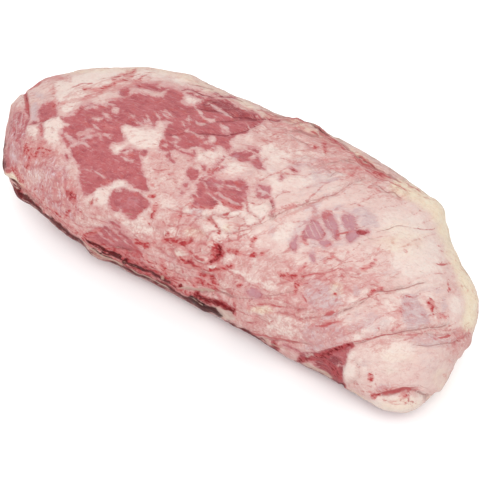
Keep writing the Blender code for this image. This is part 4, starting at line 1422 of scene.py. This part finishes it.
@dataclass(frozen=True)
class RawBeef:
    """Raw beef: moist muscle under soft fat and a torn membrane.

    Fat scatters light and has a soft sheen, muscle is a little wetter and darker.
    Water over tissue has an IOR near 1.38. It is no metal. The hexes are as the
    camera sees them where the studio's light is "white" times as bright as paper white.

    octave_share: strength of each octave of a noise, as a share of the one before
    thread_fall: how much of a thread's mask is lost for each half width to its side
    bend_scale, bend_m: patterns bend by up to half of bend_m, over 1 / bend_scale metres
    tone_spread: values of the tone's noise between which the two tones mix
    pores, pore_m: size and depth of pores and fibre ends, which are too fine for the mesh
    depth_share, depth_m: share of light that scatters below the surface, and how deep
    depth_rgb: how far each colour of it goes
    """

    white: float = 1.59
    ior: float = 1.38
    shine: float = 0.07
    fat_roughness: float = 0.50
    lean_roughness: float = 0.38
    octave_share: float = 0.66
    thread_fall: float = 0.28
    bend_scale: float = 70.0
    bend_m: float = 0.006
    tone_spread: tuple[float, float] = (0.35, 0.65)
    pores: Grain = Grain((1.8, 1.0, 1.4), 50, 4)
    pore_m: float = 0.0006
    depth_share: float = 0.10
    depth_m: float = 0.0012
    depth_rgb: tuple[float, float, float] = (1.0, 0.45, 0.35)
    base: str = "E3BCB5"
    coats: tuple[Coat, ...] = COATS

    def noise(self, tree: Tree, place: Socket, grain: Grain, shift: float) -> Socket:
        """Adds a grain's noise.

        Args:
            tree: The node tree.
            place: Coordinates in metres.
            grain: Size and direction.
            shift: Moves the pattern, so that no two coats line up.

        Returns:
            A noise from 0 to 1, centred on a half.
        """
        where = add_node(tree, "ShaderNodeMapping", {"vector_type": "TEXTURE"}, {
            "Vector": place,
            "Location": (shift, shift * 0.7, -shift),
            "Rotation": (0.0, 0.0, np.radians(grain.turn)),
            "Scale": tuple(mm / 1000.0 for mm in grain.size_mm),
        })
        return add_node(tree, "ShaderNodeTexNoise", None, {
            "Vector": where, "Scale": 1.0, "Detail": grain.detail, "Roughness": self.octave_share,
        })

    def cover(self, tree: Tree, coat: Coat, broken: Socket, bound: Socket | None) -> Socket:
        """Works out how much of a coat lies at each point.

        Args:
            tree: The node tree.
            coat: The coat.
            broken: Its noise.
            bound: The cover of the coat that it stays within, or None.

        Returns:
            The coat's cover, from 0 to its strength.
        """
        value = broken
        if coat.layer:
            name = coat.layer.value
            mask = add_node(tree, "ShaderNodeAttribute", {"attribute_name": name}, None, "Fac")
            shifted = add_node(tree, MATH, {"operation": "SUBTRACT"}, {0: broken, 1: 0.5})
            if coat.veined:
                shifted = add_node(tree, MATH, {"operation": "ABSOLUTE"}, {0: shifted})
            if coat.lined:
                side = {"attribute_name": name + SIDE}
                away = add_node(tree, "ShaderNodeAttribute", side, None, "Fac")
                away = add_node(tree, MATH, {"operation": "ABSOLUTE"}, {0: away})
                fall = {0: away, 1: -self.thread_fall, 2: mask}
                mask = add_node(tree, MATH, {"operation": "MULTIPLY_ADD"}, fall)
            shift = {0: shifted, 1: coat.break_up * (-1 if coat.veined else 1), 2: mask}
            value = add_node(tree, MATH, {"operation": "MULTIPLY_ADD"}, shift)
        laid = add_node(tree, "ShaderNodeMapRange", {"interpolation_type": "SMOOTHSTEP"}, {
            "Value": value, "From Min": coat.start, "From Max": coat.full, "To Max": coat.strength,
        })
        if bound is None:
            return laid
        return add_node(tree, MATH, {"operation": "MULTIPLY"}, {0: laid, 1: bound})

    def pigment(self, code: str) -> tuple[float, float, float, float]:
        """The linear colour that looks like the hex under the studio's light."""
        red, green, blue, alpha = linear(code)
        return (red / self.white, green / self.white, blue / self.white, alpha)

    def material(self) -> bpy.types.Material:
        """Builds the shader.

        Returns:
            A material of procedural nodes on Object coordinates and mesh attributes.
        """
        made = bpy.data.materials.new("raw_beef_fat_and_lean")
        made.use_nodes = True
        tree = made.node_tree
        tree.nodes.clear()
        place = add_node(tree, "ShaderNodeTexCoord", out="Object")
        # tissue isn't straight, so every pattern is bent
        bend = {"Vector": place, "Scale": self.bend_scale, "Detail": 2.0}
        drift = add_node(tree, "ShaderNodeTexNoise", None, bend, "Color")
        centred = {0: drift, 1: (0.5,) * 3}
        drift = add_node(tree, "ShaderNodeVectorMath", {"operation": "SUBTRACT"}, centred)
        moved = {0: drift, 1: (self.bend_m,) * 3, 2: place}
        place = add_node(tree, "ShaderNodeVectorMath", {"operation": "MULTIPLY_ADD"}, moved)
        colour: Socket | tuple = self.pigment(self.base)
        covers = {}
        for number, coat in enumerate(self.coats):
            shift = COAT_SHIFT * (number + 1)
            broken = self.noise(tree, place, coat.grain, shift)
            covers[coat.name] = self.cover(tree, coat, broken, covers.get(coat.within))
            tone = self.noise(tree, place, coat.tone, -shift)
            low, high = self.tone_spread
            spread = {"Value": tone, "From Min": low, "From Max": high}
            tone = add_node(tree, "ShaderNodeMapRange", None, spread)
            first, second = map(self.pigment, coat.hexes.split())
            tones = {0: tone, 6: first, 7: second}
            pair = add_node(tree, MIX, {"data_type": "RGBA"}, tones, 2)
            laid = {0: covers[coat.name], 6: colour, 7: pair}
            colour = add_node(tree, MIX, {"data_type": "RGBA"}, laid, 2)
        wet = {0: covers["lean"], 2: self.fat_roughness, 3: self.lean_roughness}
        pores = self.noise(tree, place, self.pores, PORE_SHIFT)
        fine = {"Height": pores, "Strength": 0.5, "Distance": self.pore_m}
        skin = add_node(tree, "ShaderNodeBsdfPrincipled", {"subsurface_method": "RANDOM_WALK"}, {
            "Base Color": colour,
            "Roughness": add_node(tree, MIX, None, wet),
            "IOR": self.ior,
            "Specular IOR Level": self.shine,
            "Subsurface Weight": self.depth_share,
            "Subsurface Radius": self.depth_rgb,
            "Subsurface Scale": self.depth_m,
            "Normal": add_node(tree, "ShaderNodeBump", None, fine, "Normal"),
        })
        end = tree.nodes.new("ShaderNodeOutputMaterial")
        tree.links.new(skin, end.inputs["Surface"])
        return made


@dataclass
class EyeOfRound:
    """The whole muscle with its fat cover, as one piece.

    voxel_m: cell of the mesh, which is halved on the side that shows
    fine_from: how squarely the camera is faced where that side begins
    smoothing, last_smoothing: passes over the mesh before and after its cells are halved
    window_depth_mm: how far the lean lies below the fat
    window_slope_mm: where that step starts and ends, from the rim inwards
    lobe_mm, ripple_mm: height of the low swellings and of the fine ripple
    lobe_m, ripple_m: their size
    dome: shares of a lobule's radius between which it falls off
    free_m: heights over the table where relief starts and is full
    clean_fat: how well smooth fat keeps clear of blood
    bare_to: amount of blood that counts as a mark and not as bare fat
    rim_blood: share of the blood that is left at the outline
    rim_to: how squarely the camera is faced where blood is whole
    outline_shade_starts, outline_shade_ends: how squarely the camera is faced where the painted shade along
    the outline comes and goes
    edge_ends: the same, where the maroon band along the outline goes
    pale_lobules: how pale the palest lobules are, partly as painted highlight on their raised cores
    pale_tones: random numbers of the lobules that turn pale
    pale_cores: how far in from its seam a lobule turns pale
    thread_halo: share of a thread's strength that stains its sides
    wrinkle_px: how far beside a crease its fainter line of painted shade runs
    wrinkle_width, wrinkle_line_shade: its width, and its painted shade as a share of the crease's
    """

    voxel_m: float = 0.00186
    fine_from: float = -0.1
    smoothing: int = 8
    last_smoothing: int = 4
    window_depth_mm: float = 0.55
    window_slope_mm: tuple[float, float] = (-0.8, 1.2)
    lobe_mm: float = 0.9
    ripple_mm: float = 0.45
    lobe_m: float = 0.022
    ripple_m: float = 0.006
    dome: tuple[float, float] = (0.1, 1.35)
    free_m: tuple[float, float] = (0.0005, 0.006)
    clean_fat: float = 0.55
    bare_to: float = 0.3
    rim_blood: float = 0.4
    rim_to: float = 0.2
    outline_shade_starts: tuple[float, float] = (-0.02, 0.04)
    outline_shade_ends: tuple[float, float] = (0.08, 0.24)
    edge_ends: tuple[float, float] = (0.38, 0.66)
    pale_lobules: float = 0.75
    pale_tones: tuple[float, float] = (0.35, 0.95)
    pale_cores: tuple[float, float] = (0.05, 0.4)
    thread_halo: float = 0.42
    wrinkle_px: tuple[float, float] = (3.5, 8.0)
    wrinkle_width: float = 1.1
    wrinkle_line_shade: float = 0.55

    def build(self) -> Thing:
        """Shapes, marks and dresses the piece.

        Returns:
            The finished object.
        """
        piece = self.blank()
        marked = self.read(piece)
        depth = self.lean_depth(marked)
        self.carve(piece, marked, depth)
        self.write_masks(piece, marked, depth)
        piece.data.materials.clear()
        piece.data.materials.append(RawBeef().material())
        only_selected(piece)
        bpy.ops.object.shade_smooth()
        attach(piece, "root")
        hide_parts(NODE)
        return piece

    def blank(self) -> Thing:
        """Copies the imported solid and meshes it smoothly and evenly.

        Returns:
            The plain piece.
        """
        only_selected(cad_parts[NODE])
        bpy.ops.object.duplicate()
        piece = bpy.context.view_layer.objects.active
        piece.name = "eye_of_round_meat"
        bpy.ops.object.mode_set(mode="EDIT")
        bpy.ops.mesh.select_all(action="SELECT")
        bpy.ops.mesh.remove_doubles(threshold=1e-6)
        bpy.ops.mesh.tris_convert_to_quads()
        bpy.ops.object.mode_set(mode="OBJECT")
        apply_modifier(piece, "SUBSURF", levels=1, render_levels=1)
        apply_modifier(piece, "REMESH", mode="VOXEL", voxel_size=self.voxel_m)
        apply_modifier(piece, "SMOOTH", factor=0.5, iterations=self.smoothing)
        self.refine(piece)
        apply_modifier(piece, "SMOOTH", factor=0.5, iterations=self.last_smoothing)
        return piece

    def refine(self, piece: Thing) -> None:
        """Cuts the cells of the side that shows in four, for its finer marks.

        Args:
            piece: The object.
        """
        faces = piece.data.polygons
        centres, normals = np.empty(len(faces) * 3), np.empty(len(faces) * 3)
        faces.foreach_get("center", centres)
        faces.foreach_get("normal", normals)
        facing = PHOTO.facing(centres.reshape(-1, 3), normals.reshape(-1, 3))
        only_selected(piece)
        bpy.context.tool_settings.mesh_select_mode = (False, False, True)
        bpy.ops.object.mode_set(mode="EDIT")
        bpy.ops.mesh.select_all(action="DESELECT")
        bpy.ops.object.mode_set(mode="OBJECT")
        faces.foreach_set("select", facing > self.fine_from)
        bpy.ops.object.mode_set(mode="EDIT")
        bpy.ops.mesh.subdivide(number_cuts=1)
        bpy.ops.object.mode_set(mode="OBJECT")

    def read(self, piece: Thing) -> MarkedSurface:
        """Reads the piece's vertices and normals.

        Args:
            piece: The object.

        Returns:
            The surface, ready for marking.
        """
        mesh = piece.data
        points, normals = np.empty((2, len(mesh.vertices) * 3))
        mesh.vertices.foreach_get("co", points)
        mesh.vertex_normals.foreach_get("vector", normals)
        return MarkedSurface(points.reshape(-1, 3), normals.reshape(-1, 3))

    def lean_depth(self, marked: MarkedSurface) -> np.ndarray:
        """Joins the lean of all sides.

        Args:
            marked: The marked vertices.

        Returns:
            Distance in from the rim of the lean at each vertex, in millimetres.
        """
        front = tuple(Area(outline) for outline in LEAN_WINDOWS)
        back = tuple(Area(outline) for outline in BEHIND_WINDOWS)
        shown = marked.lean_depth(Plane.PHOTO, front + LEAN_FIBRES, FAT_ON_LEAN)
        behind = marked.lean_depth(Plane.BEHIND, back, BEHIND_FAT_ON_LEAN)
        share = marked.share
        below = np.full(len(shown), UNDER_MM)
        sides = ((shown, Plane.PHOTO), (behind, Plane.BEHIND), (below, Plane.BELOW))
        return sum(depth * share[plane] for depth, plane in sides)

    def weigh(self, piece: Thing, name: str, weights: np.ndarray) -> None:
        """Paints a vertex group.

        Args:
            piece: The object.
            name: The group's name.
            weights: One weight a vertex, from 0 to 1.
        """
        group = piece.vertex_groups.new(name=name)
        steps = np.round(weights * WEIGHT_STEPS).astype(int)
        for step in np.unique(steps):
            which = np.nonzero(steps == step)[0].tolist()
            group.add(which, float(step) / WEIGHT_STEPS, "REPLACE")

    def carve(self, piece: Thing, marked: MarkedSurface, depth: np.ndarray) -> None:
        """Gives the surface its relief with Displace modifiers.

        Args:
            piece: The object.
            marked: Its marked vertices.
            depth: Distance in from the rim of the lean, in millimetres.
        """
        height = -self.window_depth_mm * eased(depth, *self.window_slope_mm)
        for plane, grooves in ((Plane.PHOTO, GROOVES), (Plane.BEHIND, BEHIND_GROOVES)):
            for groove in grooves:
                near = marked.near(plane, Line(groove.path, groove.width))
                gap = distance_to(rounded(groove.path, False), marked.spots[plane][near])
                height[near] += groove.relief(gap) * marked.share[plane][near]
        spots, share = marked.spots[Plane.PHOTO], marked.share[Plane.PHOTO]
        for side, ovals in ((1.0, LOBULES), (-1.0, HOLLOWS)):
            for *place, turn, rise in ovals:
                oval = Spot(*place, turn=turn)
                near = marked.near(Plane.PHOTO, oval)
                dome = 1.0 - eased(oval.share(spots[near]), *self.dome)
                height[near] += side * rise * dome * share[near]
        for cushions in CUSHIONS:
            swell, _, zone = marked.cushions(cushions)
            height += cushions.rise_mm * zone * (eased(swell, 0.0, 0.5) - 0.5)
        free = eased(marked.points[:, 2], *self.free_m)
        self.weigh(piece, "clear_of_table", free)
        for name, size, rise, deep in (
            ("lobes", self.lobe_m, self.lobe_mm, 1),
            ("ripples", self.ripple_m, self.ripple_mm, 2),
        ):
            clouds = bpy.data.textures.new(name, "CLOUDS")
            clouds.noise_scale = size
            clouds.noise_depth = deep
            apply_modifier(
                piece, "DISPLACE", texture=clouds, texture_coords="LOCAL",
                strength=rise * 2 / 1000, mid_level=0.5, vertex_group="clear_of_table",
            )
        for name, side in (("raised", 1.0), ("sunk", -1.0)):
            moved = np.clip(height * free * side, 0.0, None)
            self.weigh(piece, name, moved / moved.max())
            most = side * float(moved.max()) / 1000
            apply_modifier(piece, "DISPLACE", strength=most, mid_level=0.0, vertex_group=name)
        piece.vertex_groups.clear()

    def write_masks(self, piece: Thing, marked: MarkedSurface, depth: np.ndarray) -> None:
        """Stores each layer's amount on the mesh, for the material.

        Args:
            piece: The object.
            marked: Its marked vertices.
            depth: Distance in from the rim of the lean, in millimetres.
        """
        amounts = {Layer.LEAN: depth}
        for layer, marks in MARKS.items():
            amounts[layer] = marked.coverage(Plane.PHOTO, tuple(map(self.halo, marks)))
        for layer, marks in BEHIND_MARKS.items():
            amounts[layer] += marked.coverage(Plane.BEHIND, marks)
        # plain fat keeps clear of the specks that a coat's noise makes where no mark is
        for layer in (Layer.BLOOD, Layer.CLOT):
            bare = 1.0 - eased(amounts[layer], 0.0, self.bare_to)
            amounts[layer] -= self.clean_fat * bare * amounts[Layer.SMOOTH]
        # at the outline a mark is stretched over a long strip, so blood is held back there
        facing = marked.facing
        inwards = eased(np.abs(facing), 0.0, self.rim_to)
        amounts[Layer.BLOOD] *= self.rim_blood + (1.0 - self.rim_blood) * inwards
        amounts[Layer.UNDER] = marked.share[Plane.BELOW]
        # painted shade along the outline, only where the surface turns away from the camera
        skin = eased(facing, *self.outline_shade_starts) * (1.0 - eased(facing, *self.outline_shade_ends))
        amounts[Layer.BARK] *= skin
        amounts[Layer.EDGE] *= 1.0 - eased(facing, *self.edge_ends)
        for layer, lines in self.fine_lines().items():
            strength, side = marked.threads(Plane.PHOTO, lines)
            amounts[layer] = strength
            self.store(piece, layer.value + SIDE, side)
        # seams between lobules, which the material makes reddish and darkens with painted shade in their
        # hollows
        seams = np.zeros(len(depth))
        for cushions in CUSHIONS:
            inside, tone, zone = marked.cushions(cushions)
            seams = np.maximum(seams, zone * (1.0 - eased(inside, 0.0, cushions.seam)))
            # the cores of some lobules, picked at random, turn pale: whiter fat, partly painted highlight
            # on their raised tops
            lit = eased(tone, *self.pale_tones) * eased(inside, *self.pale_cores)
            lit *= self.pale_lobules * zone
            amounts[Layer.PALE] = np.maximum(amounts[Layer.PALE], lit)
        amounts[Layer.SEAM] = seams
        for layer, values in amounts.items():
            self.store(piece, layer.value, values)

    def halo(self, mark: Mark) -> Mark:
        """Weakens a fine line, which only stains its broad layer.

        Args:
            mark: Any mark.

        Returns:
            The mark as its broad layer has it.
        """
        if isinstance(mark, Line) and mark.width < THREAD_PX:
            return Line(mark.path, mark.width, mark.strength * self.thread_halo)
        return mark

    def store(self, piece: Thing, name: str, values: np.ndarray) -> None:
        """Keeps one number a vertex as a mesh attribute."""
        stored = piece.data.attributes.new(name, "FLOAT", "POINT")
        stored.data.foreach_set("value", values.astype(np.float32))

    def fine_lines(self) -> dict[Layer, list[Line]]:
        """Sorts out the lines that are finer than the mesh.

        Returns:
            The lines of each thread layer. Along each crease runs a line of painted shade,
            and a fainter one, with no relief under it, runs beside most creases, as a membrane wrinkles.
        """
        kinds = {
            Layer.VEIN: MARKS[Layer.BLOOD],
            Layer.SINEW: FAT_ON_LEAN,
            Layer.RIDGE: MARKS[Layer.SILVER],
            Layer.TEAR: MARKS[Layer.CLOT] + MARKS[Layer.DRIED],
        }
        lines = {
            layer: [m for m in marks if isinstance(m, Line) and m.width < THREAD_PX]
            for layer, marks in kinds.items()
        }
        # painted shade along each crease, in a line finer than its relief
        lines[Layer.CREASE] = [Line(g.path, g.width * 0.5, g.line_shade) for g in GROOVES]
        # a fainter line of painted shade beside most creases, with no relief under it
        drawn = np.random.default_rng(WRINKLE_SEED)
        for groove in GROOVES:
            points = dots(groove.path)
            if len(points) < MANY_POINTS:
                continue
            lift = drawn.uniform(*self.wrinkle_px) * drawn.choice((-1.0, 1.0))
            start = int(drawn.integers(0, len(points) - 2))
            path = " ".join(f"{x},{y + lift}" for x, y in points[start:].tolist())
            line_shade = groove.line_shade * self.wrinkle_line_shade
            lines[Layer.CREASE].append(Line(path, self.wrinkle_width, line_shade))
        return lines


# ---- stage


@dataclass(frozen=True)
class Softbox:
    """A soft square light: its place and side in metres, and its power in watts."""

    name: str
    place: tuple[float, float, float]
    side: float
    watts: float


@dataclass(frozen=True)
class Studio:
    """A white floor, big soft lights and the photograph's camera, which aim at the piece."""

    sky_strength: float = 0.95
    floor_m: float = 8.0
    paper: str = "FAFAFA"
    paper_roughness: float = 0.9
    nearest_m: float = 0.01
    aim: tuple[float, float, float] = (0.0, 0.0, 0.03)
    softboxes: tuple[Softbox, ...] = (
        Softbox("key_softbox", (0.65, -0.75, 1.25), 0.8, 12.0),
        Softbox("fill_softbox", (-0.2, 0.7, 1.4), 1.2, 5.0),
        Softbox("front_softbox", (-0.8, -0.7, 0.9), 1.0, 3.5),
    )

    def floor(self) -> None:
        """A plain white floor, well past the camera's view."""
        bpy.ops.object.select_all(action="DESELECT")
        bpy.ops.mesh.primitive_plane_add(size=self.floor_m, location=(0, 0, 0))
        ground = bpy.context.view_layer.objects.active
        ground.name = "studio_floor"
        paint = bpy.data.materials.new("matt_white_paper")
        paint.use_nodes = True
        surface = paint.node_tree.nodes["Principled BSDF"]
        surface.inputs["Base Color"].default_value = linear(self.paper)
        surface.inputs["Roughness"].default_value = self.paper_roughness
        ground.data.materials.append(paint)

    def light(self, box: Softbox) -> None:
        """Hangs a softbox and points it at the piece.

        Args:
            box: The softbox.
        """
        lamp = bpy.data.lights.new(box.name, "AREA")
        lamp.size = box.side
        lamp.energy = box.watts
        holder = bpy.data.objects.new(box.name, lamp)
        holder.location = Vector(box.place)
        aim = Vector(self.aim) - holder.location
        holder.rotation_euler = aim.to_track_quat("-Z", "Y").to_euler()
        bpy.context.scene.collection.objects.link(holder)

    def camera(self) -> None:
        """Puts the camera where the photograph was taken from."""
        lens = bpy.data.cameras.new("photo_camera")
        lens.lens = PHOTO.lens_mm
        lens.sensor_width = SENSOR_MM
        lens.clip_start = self.nearest_m
        body = bpy.data.objects.new("photo_camera", lens)
        body.location = Vector(PHOTO.position())
        body.rotation_euler = (-Vector(PHOTO.axes()[2])).to_track_quat("-Z", "Y").to_euler()
        bpy.context.scene.collection.objects.link(body)
        bpy.context.scene.camera = body

    def build(self) -> None:
        """Sets the floor, lights, sky and camera."""
        self.floor()
        for box in self.softboxes:
            self.light(box)
        scene = bpy.context.scene
        scene.world = bpy.data.worlds.new("studio_sky")
        scene.world.use_nodes = True
        sky = scene.world.node_tree.nodes["Background"]
        sky.inputs["Color"].default_value = (1.0, 1.0, 1.0, 1.0)
        sky.inputs["Strength"].default_value = self.sky_strength
        scene.view_settings.view_transform = "Standard"
        self.camera()


def main() -> None:
    """Builds the piece and the studio."""
    logging.basicConfig(level=logging.INFO, format="%(name)s: %(message)s")
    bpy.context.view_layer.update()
    piece = EyeOfRound().build()
    LOG.info("%s has %d faces", piece.name, len(piece.data.polygons))
    Studio().build()
    LOG.info("studio is set")


if __name__ == "__main__":
    main()
